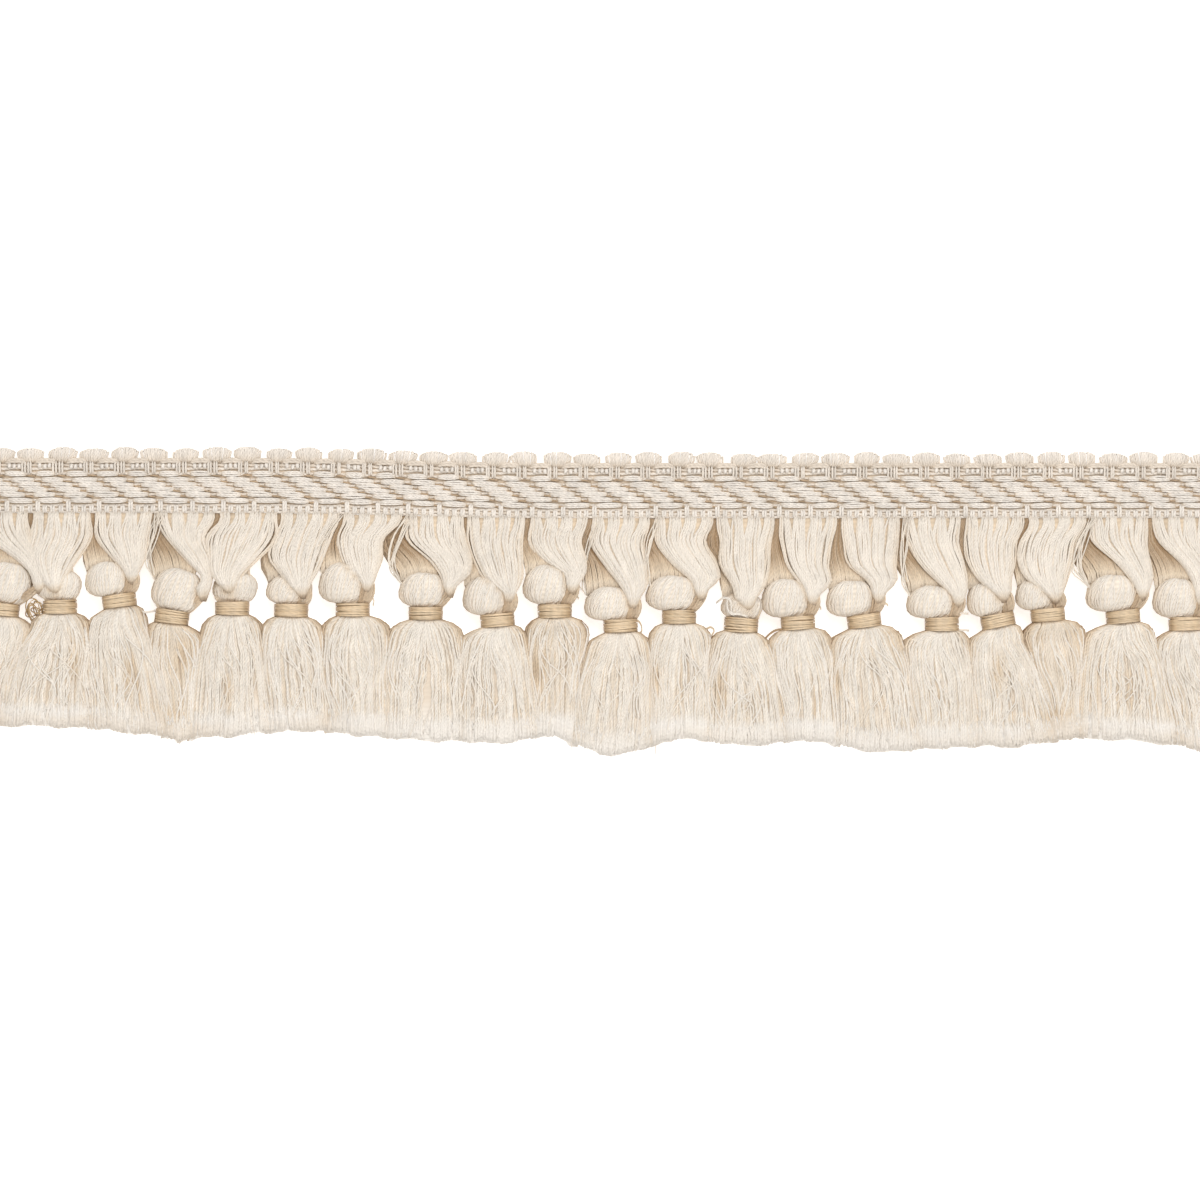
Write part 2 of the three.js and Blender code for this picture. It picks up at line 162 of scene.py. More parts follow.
# The tangle's box, and loose ends: the tassel each one stands beside, its depth of colour, and
# its points beside the middle of that binding
TANGLE_BOX = ((-132.7, -31.2), (-128.0, -25.2))
LOOSE_ENDS = (
    (3, 0.0, ((3.4, -1.6, 4.5), (5.0, -2.4, 4.6), (6.4, -2.7, 4.4), (8.6, -2.3, 4.0))),
    (11, 0.6, ((3.2, 1.6, 4.5), (4.6, 0.6, 4.8), (5.0, -1.2, 4.6), (4.2, -2.0, 4.4))),
    (14, 0.9, ((-2.4, -1.5, 4.6), (-5.2, -1.8, 4.8), (-7.2, -3.2, 4.4), (-8.6, -5.2, 3.8))),
    (14, 0.7, ((-2.8, -1.9, 4.6), (-4.6, -2.4, 4.9), (-6.4, -4.0, 4.4), (-7.6, -5.8, 3.8))),
    (9, 0.7, ((-3.4, -2.2, 4.2), (-5.2, -3.0, 4.6), (-7.0, -4.8, 4.2), (-8.2, -7.0, 3.6))),
    (15, 0.4, ((2.8, 3.4, 4.6), (4.2, 3.9, 4.9), (5.2, 3.9, 4.8), (5.6, 3.4, 4.6))),
    (14, 0.4, ((3.0, 3.3, 4.6), (4.2, 3.8, 4.9), (5.1, 3.7, 4.8), (5.4, 3.1, 4.6))),
    (16, 0.1, ((3.4, 2.6, 4.6), (4.6, 2.5, 4.9), (5.4, 2.4, 4.8), (6.2, 2.4, 4.6))),
    (16, 0.1, ((3.2, -1.4, 4.6), (4.4, -1.5, 4.9), (5.4, -1.5, 4.8), (6.4, -1.6, 4.6))),
    (10, 0.4, ((3.0, 3.0, 4.6), (4.3, 3.6, 4.9), (5.2, 3.4, 4.8), (5.6, 2.8, 4.6))),
    (13, 0.0, ((-5.9, 5.2, 5.2), (-4.2, 6.4, 7.0), (-2.6, 5.8, 7.6), (-2.4, 3.2, 7.2),
               (-1.6, 2.2, 6.6))),
    (13, 0.0, ((-3.2, 6.6, 7.0), (-3.4, 4.6, 7.6), (-2.6, 2.8, 7.2), (-0.4, 2.6, 6.8),
               (1.6, 1.9, 6.6))),
    (7, 0.3, ((3.3, 2.4, 4.6), (4.4, 2.9, 4.9), (5.0, 2.0, 4.6), (4.8, 0.8, 4.4))),
    (12, 0.5, ((6.0, -3.0, 4.4), (7.4, -2.4, 4.8), (8.2, -3.2, 4.6), (7.6, -4.4, 4.2))),
)
# Places in the skirts' gaps that get painted shade, deeper and warmer: their middles and half
# sizes
SHADED_GAP_SPOTS = (
    (-121.0, -40.2, 1.3, 4.2), (-95.8, -39.0, 1.7, 4.2), (-108.0, -42.5, 1.4, 4.0),
    (-101.0, -54.2, 5.5, 2.8), (-85.0, -46.5, 1.2, 3.4), (-62.5, -53.6, 3.4, 2.2),
    (-12.3, -42.0, 1.7, 4.6), (15.5, -44.0, 1.2, 3.6), (30.4, -46.0, 1.5, 4.4),
    (58.0, -44.5, 1.2, 4.0), (110.3, -53.6, 4.0, 2.0), (96.0, -42.0, 1.4, 4.6),
)
# How much painted shade the lower edge of the fringe's end gets, by place along it
HEM_SHADE = (
    (-140, 0.7), (-118, 0.8), (-101, 1.0), (-90, 0.9), (-80, 0.3), (-66, 0.8), (-50, 0.2),
    (0, 0.2), (30, 0.5), (60, 0.2), (95, 0.6), (112, 1.0), (125, 0.3), (140, 0.9),
)
# Tassels with loose yarns that cross their skirts, and how many
UNRULY = {1: 5, 2: 8, 3: 6, 4: 8, 6: 4, 7: 6, 9: 3, 10: 6, 12: 4, 15: 3, 20: 3}
# The leaf's levels: two below the heading, and the third above the binding's middle
LEVEL_A = 5.4
LEVEL_B = 11.3
LEVEL_C_RISE = 8.8

FIELD_WIDTH = 281.8
VIEW_X = 2.3
VIEW_Y = -25.6
SUBJECT_LEVEL = 4.0
SENSOR = 36.0
LENS = 120.0
FLOOR_HALF = 3.0
FLOOR_GLOW = 0.55
SKY_COLOUR = (1.0, 0.96, 0.91, 1.0)
SKY_STRENGTH = 0.66
# Lights: name, place and power; sizes, places and aim are in metres
LIGHTS = (("key", (0.25, 0.5, 1.0), 6.6), ("fill", (-0.2, -0.7, 0.8), 2.2))
LIGHT_SIZE = 0.9
LIGHT_AIM = (0, -0.02, 0)


# Small mathematics


def mix(low, high, share):
    """From low to high by a share of the way."""
    return low + (high - low) * share


def ease(share):
    """The share of the way, slow at both of its ends."""
    share = np.clip(share, 0.0, 1.0)
    return share * share * (3 - 2 * share)


def bow(x):
    """How much higher the heading lies at x than at its right end."""
    return BOW_HEIGHT * (1 - ease((x - BOW_START) / (BOW_END - BOW_START)))


def curve(knots, values, at):
    """A smooth curve through values at the knots, read at the places in at."""
    knots = np.asarray(knots, float)
    values = np.asarray(values, float)
    slopes = np.gradient(values, knots)
    k = np.clip(np.searchsorted(knots, at, side="right") - 1, 0, len(knots) - 2)
    step = knots[k + 1] - knots[k]
    t = np.clip((at - knots[k]) / step, 0, 1)
    start = (1 + 2 * t) * (1 - t) ** 2 * values[k] + t * (1 - t) ** 2 * step * slopes[k]
    end = t * t * (3 - 2 * t) * values[k + 1] + t * t * (t - 1) * step * slopes[k + 1]
    return start + end


def even_turns(places, start, stop, power, width, height):
    """Angles between start and stop at even steps round a rounded box, for places in 0 to 1."""
    turn = np.linspace(start, stop, 400)
    x, y = width * polar(np.cos(turn), power), height * polar(np.sin(turn), power)
    round_it = np.concatenate([[0], np.cumsum(np.hypot(np.diff(x), np.diff(y)))])
    return np.interp(places, round_it / round_it[-1], turn)


def polar(cosine, power):
    """A cosine or sine as a rounded box of that power has it."""
    return np.sign(cosine) * np.abs(cosine) ** (2 / power)


def stack(x, y, z):
    """Paths of points from three arrays that broadcast to one shape."""
    return np.stack(np.broadcast_arrays(x, y, z), axis=-1)


def shares(count, start=0):
    """Even steps from start to 1, as a row."""
    return np.linspace(start, 1, count)[None, :]


def once_round(count):
    """Angles at even steps once round, as a row."""
    return np.linspace(0, 2 * math.pi, count, endpoint=False)[None, :]


def between(rng, low, high, count, *more):
    """A column of random numbers from low to high, or an array where more sizes follow."""
    return rng.uniform(low, high, (count, *(more or (1,))))


def vary(rng, most, *shape):
    """Random numbers from -most to most, as between gives them."""
    return between(rng, -most, most, *shape)


def spaced(rng, count, most):
    """A column of even places in 0 to 1, each moved at random by up to most."""
    return (np.arange(count) + 0.5)[:, None] / count + vary(rng, most, count)


def unit(vectors):
    """Vectors made one long."""
    return vectors / np.maximum(np.linalg.norm(vectors, axis=-1, keepdims=True), 1e-9)


# Meshes of yarn


def walls(ring):
    """The faces between rings of points, a ring to each row of point numbers."""
    here, there = ring[..., :-1, :], ring[..., 1:, :]
    corners = (here, there, np.roll(there, -1, axis=-1), np.roll(here, -1, axis=-1))
    return np.stack(corners, axis=-1).reshape(-1, 4)


def new_object(name, data):
    """An object in the scene."""
    made = bpy.data.objects.new(name, data)
    bpy.context.scene.collection.objects.link(made)
    return made


class Yarn:
    """Tubes and bodies gathered into one mesh.

    Each point carries two vectors. The first holds how much painted shade darkens and warms its
    colour, how light its yarn is against the others, and how soft it lies. The second, "ply",
    holds the cosine and sine of the angle round the yarn, and the millimetres along it.
    """

    def __init__(self):
        self.points, self.tints, self.plies, self.quads = [], [], [], []
        self.count = 0

    def add(self, points, quads, tint, ply):
        """Some points, their faces and both of their vectors."""
        for kept, new in ((self.points, points), (self.tints, tint), (self.plies, ply)):
            kept.append(new.reshape(-1, 3))
        self.quads.append(quads + self.count)
        self.count += points.size // 3

    def tubes(self, paths, radius, rng, shade, soft=0.0, up=(0, 0, 1), tone=None, taper=0.55):
        """One square-sectioned tube along each path of an array of m points to a path."""
        shape, m = paths.shape[:-1], paths.shape[-2]
        up = np.broadcast_to(up, paths.shape).reshape(-1, m, 3)
        paths = paths.reshape(-1, m, 3)
        n = len(paths)

        def each(value):
            """One value for each point of each path."""
            return np.broadcast_to(value, shape).reshape(n, m)

        along = unit(np.gradient(paths, axis=1))
        side = unit(np.cross(along, up))
        above = np.cross(side, along)
        radius = each(radius).astype(float)
        radius[:, 0] *= taper
        radius[:, -1] *= taper
        turn = math.pi / 4 + np.arange(4) * math.pi / 2
        offset = (
            np.cos(turn)[None, None, :, None] * side[:, :, None, :]
            + np.sin(turn)[None, None, :, None] * above[:, :, None, :]
        )
        points = paths[:, :, None, :] + radius[:, :, None, None] * offset
        points[..., 2] = np.maximum(points[..., 2], FLOOR_CLEARANCE)
        ring = np.arange(n * m * 4).reshape(n, m, 4)
        quads = np.concatenate([walls(ring), ring[:, 0], ring[:, -1, ::-1]])
        if tone is None:
            tone = np.broadcast_to(vary(rng, 1, n), (n, m)).reshape(shape)
        steps = np.linalg.norm(np.diff(paths, axis=1), axis=-1)
        length = np.concatenate([np.zeros((n, 1)), np.cumsum(steps, axis=1)], axis=1)
        length = length + between(rng, 0, 10, n)
        tint = [each(value)[:, :, None] for value in (np.clip(shade, 0, 1), tone, soft)]
        tint = np.broadcast_to(stack(*tint), (n, m, 4, 3))
        ply = stack(np.cos(turn), np.sin(turn), length[:, :, None])
        self.add(points, quads, tint, ply)

    def body(self, rings, shade=0.3, soft=0.0):
        """A closed body through an (m, k, 3) array of rings, k even, that turn anticlockwise
        as seen from the first ring's outside."""
        m, k, _ = rings.shape
        ring = np.arange(m * k).reshape(m, k)
        strips = []
        for j in range(k // 2 - 1):
            strip = [j, j + 1, k - 2 - j, k - 1 - j]
            strips.append(ring[0][strip])
            strips.append(ring[-1][strip[::-1]])
        quads = np.concatenate([walls(ring), strips])
        turn = once_round(k)
        tint = stack(np.broadcast_to(np.asarray(shade, float), (m, k)), 0.0, soft)
        ply = stack(np.cos(turn), np.sin(turn), rings[:, :, 1])
        self.add(rings, quads, tint, ply)

    def piece(self, name, material, slot, *nodes):
        """The mesh as a piece of the trim that rides on its body and replaces CAD nodes."""
        points = np.concatenate(self.points) * MM
        quads = np.concatenate(self.quads)
        mesh = bpy.data.meshes.new(name)
        mesh.vertices.add(len(points))
        mesh.vertices.foreach_set("co", points.astype(np.float32).ravel())
        mesh.loops.add(quads.size)
        mesh.loops.foreach_set("vertex_index", quads.astype(np.int32).ravel())
        mesh.polygons.add(len(quads))
        mesh.polygons.foreach_set("loop_start", np.arange(0, quads.size, 4, dtype=np.int32))
        mesh.update(calc_edges=True)
        for label, values in (("tint", self.tints), ("ply", self.plies)):
            layer = mesh.attributes.new(label, "FLOAT_VECTOR", "POINT")
            layer.data.foreach_set("vector", np.concatenate(values).astype(np.float32).ravel())
        mesh.shade_smooth()
        mesh.materials.append(material)
        piece = new_object(name, mesh)
        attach(piece, "root")
        if nodes:
            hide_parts(*nodes)
        return piece


# Materials


def preset(node, **values):
    """Set some of a node's inputs, with an underscore for each space in a name."""
    for name, value in values.items():
        node.inputs[name.replace("_", " ")].default_value = value


class Nodes:
    """A new material with a Principled shader, and short ways to add nodes to it."""

    def __init__(self, name, roughness, sheen=0.0, specular=0.5):
        self.material = bpy.data.materials.new(name)
        self.material.use_nodes = True
        self.tree = self.material.node_tree
        self.shader = self.tree.nodes["Principled BSDF"]
        preset(self.shader, Roughness=roughness, Sheen_Weight=sheen, Specular_IOR_Level=specular)

    def node(self, kind, **settings):
        """A new node with some of its properties set."""
        made = self.tree.nodes.new(kind)
        for key, value in settings.items():
            setattr(made, key, value)
        return made

    def link(self, source, target):
        self.tree.links.new(source, target)

    def attribute(self, name):
        """The three numbers of a vector attribute."""
        read = self.node("ShaderNodeAttribute", attribute_name=name)
        split = self.node("ShaderNodeSeparateXYZ")
        self.link(read.outputs["Vector"], split.inputs[0])
        return split.outputs

    def math(self, operation, *values):
        """Mathematics on numbers and sockets."""
        made = self.node("ShaderNodeMath", operation=operation)
        for socket, value in zip(made.inputs, values):
            if isinstance(value, (int, float)):
                socket.default_value = value
            else:
                self.link(value, socket)
        return made.outputs[0]

    def times(self, first, second):
        return self.math("MULTIPLY", first, second)

    def minus(self, first, second):
        return self.math("SUBTRACT", first, second)

    def blend(self, share, first, second, kind="MIX"):
        """Two colours mixed by a share."""
        made = self.node("ShaderNodeMix", data_type="RGBA", blend_type=kind)
        for socket, value in ((0, share), (6, first), (7, second)):
            if isinstance(value, tuple):
                made.inputs[socket].default_value = (*value, 1.0)
            elif isinstance(value, float):
                made.inputs[socket].default_value = value
            else:
                self.link(value, made.inputs[socket])
        return made.outputs[2]

    def noise(self, scale, detail=3.0, stretch=(1, 1, 1)):
        """Noise over the object, stretched along an axis where its number is below 1."""
        place = self.node("ShaderNodeTexCoord")
        mapping = self.node("ShaderNodeMapping")
        preset(mapping, Scale=stretch)
        self.link(place.outputs["Object"], mapping.inputs["Vector"])
        made = self.node("ShaderNodeTexNoise")
        preset(made, Scale=scale, Detail=detail)
        self.link(mapping.outputs[0], made.inputs["Vector"])
        return made.outputs["Fac"]


def srgb(red, green, blue):
    """A colour of the photograph's kind, in 0 to 255, as linear light."""
    return tuple(((c / 255 + 0.055) / 1.055) ** 2.4 for c in (red, green, blue))


WHITE_COTTON = srgb(243, 239, 234)
# How much paler soft yarn is, and how strong its flecks, patches and ply marks are
SOFT_PALENESS = 0.75
FLECK_STRENGTH = 0.4
PATCH_STRENGTH = 0.12
PLY_MARKS = 0.07
PLY_RELIEF = 0.12
TWIST_SPREAD = 0.3


def yarn_material(name, light, middle, deep, roughness, sheen, spread, twist, bump, specular=0.3):
    """Plied yarn: painted shade, the first number of each point's first vector, takes its colour
    from light through middle to deep, and spread is how much one yarn differs from the next. twist
    is the ply's turns per millimetre."""
    nodes = Nodes(name, roughness, sheen, specular)
    shade, tone, soft = nodes.attribute("tint")
    cosine, sine, length = nodes.attribute("ply")
    # The ramp paints shade: light where a yarn is lit, through middle, to deep in the deepest
    # shade
    ramp = nodes.node("ShaderNodeValToRGB")
    stops = ramp.color_ramp.elements
    stops[0].color = (*light, 1.0)
    stops[1].color = (*deep, 1.0)
    stops.new(0.45).color = (*middle, 1.0)
    nodes.link(shade, ramp.inputs[0])
    pale = nodes.times(nodes.minus(1.0, shade), nodes.times(soft, SOFT_PALENESS))
    colour = nodes.blend(pale, ramp.outputs[0], WHITE_COTTON)
    # Each yarn's own brightness, its flecks and patches, and the marks of its twisted plies
    loose = nodes.minus(1.0, soft)
    bright = nodes.math("MULTIPLY_ADD", nodes.times(tone, loose), spread, 1.0)
    fleck = nodes.times(nodes.minus(nodes.noise(900.0, 2.0, (1.0, 0.35, 1.0)), 0.5), loose)
    bright = nodes.math("MULTIPLY_ADD", fleck, FLECK_STRENGTH, bright)
    patch = nodes.minus(nodes.noise(110.0, 2.0), 0.5)
    bright = nodes.math("MULTIPLY_ADD", patch, PATCH_STRENGTH, bright)
    angle = nodes.math("ARCTAN2", sine, cosine)
    own_twist = nodes.math("MULTIPLY_ADD", tone, TWIST_SPREAD, 1.0)
    turns = nodes.times(nodes.times(length, twist * 2 * math.pi), own_twist)
    ridge = nodes.math("SINE", nodes.math("ADD", nodes.times(angle, 2.0), turns))
    bright = nodes.math("ADD", bright, nodes.times(nodes.times(ridge, loose), PLY_MARKS))
    grey = nodes.node("ShaderNodeCombineXYZ")
    for socket in grey.inputs:
        nodes.link(bright, socket)
    colour = nodes.blend(1.0, colour, grey.outputs[0], "MULTIPLY")
    nodes.link(colour, nodes.shader.inputs["Base Color"])
    relief = nodes.node("ShaderNodeBump")
    preset(relief, Strength=bump, Distance=PLY_RELIEF * MM)
    nodes.link(ridge, relief.inputs["Height"])
    nodes.link(relief.outputs[0], nodes.shader.inputs["Normal"])
    return nodes.material


def floor_material():
    """A pale floor that glows a little, as a light table does, so that shadows stay faint."""
    nodes = Nodes("pale_floor", 0.9, 0.0, 0.1)
    tone = nodes.noise(3.0)
    colour = nodes.blend(tone, (0.93, 0.93, 0.93), (0.95, 0.95, 0.95))
    nodes.link(colour, nodes.shader.inputs["Base Color"])
    preset(nodes.shader, Emission_Color=(1.0, 1.0, 1.0, 1.0), Emission_Strength=FLOOR_GLOW)
    return nodes.material


# Each yarn's three colours: lit, in half shade and in deep shade, for the painted shade
COTTON = yarn_material(
    "fringe_cotton_yarn", srgb(236, 229, 219), srgb(222, 204, 180), srgb(158, 128, 94),
    roughness=0.62, sheen=0.15, spread=0.05, twist=0.9, bump=0.3,
)
TAPE = yarn_material(
    "heading_cotton_yarn", srgb(237, 231, 224), srgb(214, 198, 178), srgb(178, 150, 118),
    roughness=0.6, sheen=0.1, spread=0.04, twist=0.8, bump=0.35,
)
SATIN = yarn_material(
    "binding_satin_yarn", srgb(220, 197, 165), srgb(188, 161, 126), srgb(138, 109, 76),
    roughness=0.34, sheen=0.05, spread=0.08, twist=0.5, bump=0.15, specular=0.6,
)
TANGLE = yarn_material(
    "tangle_yarn", srgb(206, 180, 142), srgb(192, 164, 124), srgb(160, 130, 92),
    roughness=0.6, sheen=0.1, spread=0.05, twist=0.9, bump=0.3,
)


# The heading


def on_heading(x, y, z):
    """Points of the straight heading, laid along its bow."""
    return stack(x, y + bow(x), z)


def repeats(offset=0.0):
    """The middles of the heading's repeats that lie on the heading."""
    middles = (np.arange(PICOT_COUNT) - (PICOT_COUNT - 1) / 2) * PICOT_PITCH + offset
    return middles[np.abs(middles) < HALF_LENGTH]


def heading_cloth():
    """The woven ground, a slab with its selvedges rounded."""
    x = np.linspace(-HALF_LENGTH, HALF_LENGTH, 164)[:, None]
    half = HALF_WIDTH - 0.25
    section = np.array(
        [(-half, 0.25), (-half + 0.5, 0.0), (-2.0, 0.0), (2.0, 0.0), (half - 0.5, 0.0),
         (half, 0.25), (half, 0.6), (half - 0.5, SLAB_THICKNESS), (2.0, SLAB_THICKNESS),
         (-2.0, SLAB_THICKNESS), (-half + 0.5, SLAB_THICKNESS), (-half, 0.6)]
    )[::-1]
    ground = Yarn()
    # Its colour is painted shade, since it shows only deep between the yarns
    ground.body(on_heading(x, section[:, 0], section[:, 1] + FLOOR_CLEARANCE), shade=0.52)
    return ground.piece("heading_cloth", TAPE, "heading_cotton", "heading")


def heading_floats(rng):
    """Rows of floats: each is a lens-shaped bundle of yarn ends that dives at both of its ends."""
    floats = Yarn()
    t = shares(9, -1)
    for row, level in enumerate(FLOAT_ROWS):
        shift = PICOT_PITCH / 2 - 0.75 + row * FLOAT_SHIFT
        middles = repeats(shift % PICOT_PITCH)
        middles = middles[np.abs(middles) < HALF_LENGTH - FLOAT_LENGTH / 2]
        count = len(middles)
        length = FLOAT_LENGTH * (0.8 if row == 0 else 1.0)
        half = length / 2 * between(rng, 0.86, 1.06, count, 1, 1)
        across = np.linspace(-1, 1, FLOAT_ENDS)[None, :, None]
        across = across + vary(rng, 0.14, count, FLOAT_ENDS, 1)
        waist = 0.3 + 0.7 * (1 - np.abs(t) ** 2.2)
        skew = vary(rng, 0.14, count, 1, 1) - 0.04
        x = middles[:, None, None] + vary(rng, 0.25, count, 1, 1) + t * half
        y = level + across * FLOAT_HALF_WIDTH * waist + skew * t
        y = y + vary(rng, 0.06, count, FLOAT_ENDS, 1) * np.sin(3 * t + 1)
        rise = 1 - np.abs(t) ** 4
        z = SLAB_THICKNESS - 0.1 + (FLOAT_TOP - SLAB_THICKNESS) * rise - 0.16 * across**2 * rise
        # Painted shade, deepening towards each end where the float dives into the cloth
        shade = 0.04 + 0.7 * np.abs(t) ** 5
        floats.tubes(on_heading(x, y, z), FLOAT_RADIUS, rng, shade)
        # A dark slit of painted shade beside the place where one float ends and the next one
        # starts
        t_slit = shares(5, -1)
        x = (middles + PICOT_PITCH / 2)[:, None] + vary(rng, 0.3, count)
        last = HALF_LENGTH - 0.3
        x = np.clip(x + t_slit * 1.25, -last, last)
        y = level - 0.42 + vary(rng, 0.1, count) - 0.1 * t_slit
        z = SLAB_THICKNESS + SLIT_RISE - 0.12 * t_slit**2
        thick = 0.1 + between(rng, 0.08, 0.24, count) * (1 - t_slit**2)
        floats.tubes(on_heading(x, y, z), thick, rng, 0.9)
    # Ground yarns that run on below the floats, the beads and the bars, and show between them
    # in painted shade
    x = np.arange(-HALF_LENGTH + 0.4, HALF_LENGTH - 0.4, 1.8)[None, :]
    levels = np.array(GROUND_ROWS)[:, None]
    rows = np.arange(len(GROUND_ROWS))[:, None]
    turns = (x - rows * FLOAT_SHIFT) * 2 * math.pi / PICOT_PITCH
    y = levels + 0.12 * np.sin(turns + 1.0)
    z = SLAB_THICKNESS + 0.02 + 0.08 * np.sin(2 * turns)
    floats.tubes(on_heading(x, y, z), 0.44, rng, 0.24 + 0.1 * np.sin(turns))
    return floats.piece("heading_floats", TAPE, "heading_cotton")


def heading_picots(rng):
    """The picot edge: fans of looped yarn on doubled warp stems, with small beads between."""
    picots = Yarn()
    middles = repeats()
    count = len(middles)
    edge = HALF_WIDTH
    s = np.linspace(-1, 1, FAN_YARNS)[None, :, None]
    spread = s + vary(rng, 0.05, count, FAN_YARNS, 1)
    width = FAN_WIDTH + 0.2 * vary(rng, 1, count, 1, 1)
    height = FAN_HEIGHT + 0.25 * vary(rng, 1, count, 1, 1)
    skew = 0.45 * vary(rng, 1, count, 1, 1)
    centre = middles[:, None, None] - 0.6
    t = np.array([0.0, 0.2, 0.45, 0.7, 0.9, 1.0, 0.97])[None, None, :]
    lift = np.array([1.2, 1.7, 1.95, 1.9, 1.6, 1.1, 0.5])[None, None, :]
    reach = np.array([0.66, 0.8, 0.92, 0.98, 1.0, 0.99, 0.95])[None, None, :]
    x = centre + spread * width * reach + skew * t
    y = edge - 0.55 + height * t * (1 - 0.24 * np.abs(spread) ** 3)
    z = lift * (1 - 0.3 * spread**2) + 0.15
    z = z + vary(rng, 0.07, count, FAN_YARNS, 1)
    # Painted shade, deeper towards the fan's base and at its outermost yarns
    shade = 0.1 + 0.34 * (1 - t) ** 2.5 + 0.12 * np.abs(spread) ** 4
    picots.tubes(on_heading(x, y, z), 0.33, rng, shade, taper=0.9)
    # Doubled stems below each fan, and bright beads between them
    t = shares(6)
    stems = np.array([-2.0, -1.45, -0.55, 0.0])[None, :, None]
    x = centre + stems + vary(rng, 0.1, count, 4, 1)
    z = 1.25 + 0.65 * np.sin(math.pi * mix(0.35, 1.0, t)) ** 0.6
    picots.tubes(on_heading(x, edge - 0.2 - 3.2 * t, z), 0.33, rng, 0.16)
    t = shares(5)
    beads = np.array([2.1, 3.3, 4.4])[None, :, None]
    x = centre + beads + vary(rng, 0.15, count, 3, 1)
    y = edge - 0.75 - 1.2 * t + vary(rng, 0.15, count, 3, 1)
    plump = np.sin(math.pi * t) ** 0.7
    keep = (np.abs(x) < HALF_LENGTH - 0.5).all(axis=2)
    paths = on_heading(x, y, 1.15 + 0.7 * plump)[keep]
    picots.tubes(paths, 0.3 + 0.24 * plump, rng, 0.04)
    # Loops along the edge between the fans, in their shadow
    t = shares(7, -1)
    across = np.array([-0.3, 0.3])[None, :, None]
    x = centre + PICOT_PITCH / 2 + t * 2.9 + vary(rng, 0.2, count, 1, 1)
    y = edge - 0.5 + across * (1 - 0.4 * t * t) + 0.5 * (1 - t * t)
    z = 1.25 + 0.65 * (1 - t * t) ** 0.7 - 0.3 * np.abs(across)
    picots.tubes(on_heading(x, y, z)[:-1], 0.44, rng, 0.28)
    return picots.piece("heading_picots", TAPE, "heading_cotton")


def heading_bars(rng):
    """Short bars along the lower selvedge, one in four of them longer, on a ground in painted
    shade.
    """
    bars = Yarn()
    middles = repeats()
    count = len(middles)
    t = shares(6)
    for place, top in enumerate(BAR_TOPS):
        centres = middles + 0.9 + place * (PICOT_PITCH / len(BAR_TOPS))
        x = centres[:, None, None] + np.array([-0.25, 0.25])[None, :, None]
        x = x + vary(rng, 0.12, count, 1, 1)
        y = mix(top, -HALF_WIDTH - 0.15, t)
        z = 0.95 + 0.75 * np.sin(math.pi * (0.12 + 0.8 * t)) ** 0.6
        keep = np.abs(centres) < HALF_LENGTH - 0.5
        bars.tubes(on_heading(x, y, z)[keep], 0.42, rng, 0.06)
    return bars.piece("heading_bars", TAPE, "heading_cotton")


# The tassels


class Tassel:
    """The places and sizes of one tassel, from its binding in the frame and its row."""

    def __init__(self, number):
        self.number = number
        self.label = f"{number + 1:02d}"
        for name, value in zip(COLUMNS, ROWS[number]):
            setattr(self, name, value)
        self.middle = (number - (TASSEL_COUNT - 1) / 2) * HANK_PITCH
        low, high = (np.array(corner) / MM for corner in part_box(f"binding_{number + 1:02d}"))
        self.x, self.y = (low[:2] + high[:2]) / 2
        self.slope = math.radians(self.tilt)
        self.edge = float(bow(self.middle)) - HALF_WIDTH
        self.tip_y = self.y + self.tip_rise
        self.vee = number + 1 in VEES
        self.behind = BEHIND.get(number + 1, 0.0)
        self.knot_depth = VEE_KNOT_DEPTH if self.vee else KNOT_DEPTH
        self.rng = np.random.default_rng(SEED + number)

    def turned(self, paths):
        """Paths beside the neck, turned by its tilt and moved to it."""
        c, s = math.cos(self.slope), math.sin(self.slope)
        x = self.x + paths[..., 0] * c - paths[..., 1] * s
        y = self.y + paths[..., 0] * s + paths[..., 1] * c
        return stack(x, y, paths[..., 2])

    def knot_centre(self):
        """The middle of the knot."""
        at = np.array([self.knot_x, BINDING_HEIGHT / 2 + BINDING_GAP + self.knot_height / 2, 0.0])
        return self.turned(at)

    def leaf_edges(self, down):
        """The leaf's left and right edges, down millimetres below the heading."""
        length = self.edge - self.tip_y
        knots = [0, 1.6, LEVEL_A, LEVEL_B]
        left = [-HANK_HALF, 0.2 - HANK_HALF, self.left_a, self.left_b]
        right = [HANK_HALF, HANK_HALF - 0.2, self.right_a, self.right_b]
        level_c = self.edge - self.y - LEVEL_C_RISE
        if level_c > LEVEL_B + 1.5:
            knots.append(level_c)
            left.append(self.left_c)
            right.append(self.right_c)
        knots += [max(length - 2.2, knots[-1] + 0.8), length, length + 1]
        left += [self.tip - (3.0 if self.vee else 1.5), self.tip - 0.8, self.tip - 0.5]
        right += [self.tip + 1.8, self.tip + 0.9, self.tip + 0.6]
        return self.middle + curve(knots, left, down), self.middle + curve(knots, right, down)

    def leaf_level(self, down):
        """How high the leaf lies, down millimetres below the heading."""
        length = self.edge - self.tip_y
        share = [0, 0.12, 0.4, 0.65, 0.86, 0.96, 1.0, 1.06]
        level = [1.55, 2.0, 4.2, 6.1, 7.1, 7.0, 6.4, 5.4]
        if self.vee:
            level = [1.55, 2.0, 4.2, 6.3, 7.5, 7.7, 7.2, 5.8]
        return curve(np.array(share) * length, level, down)


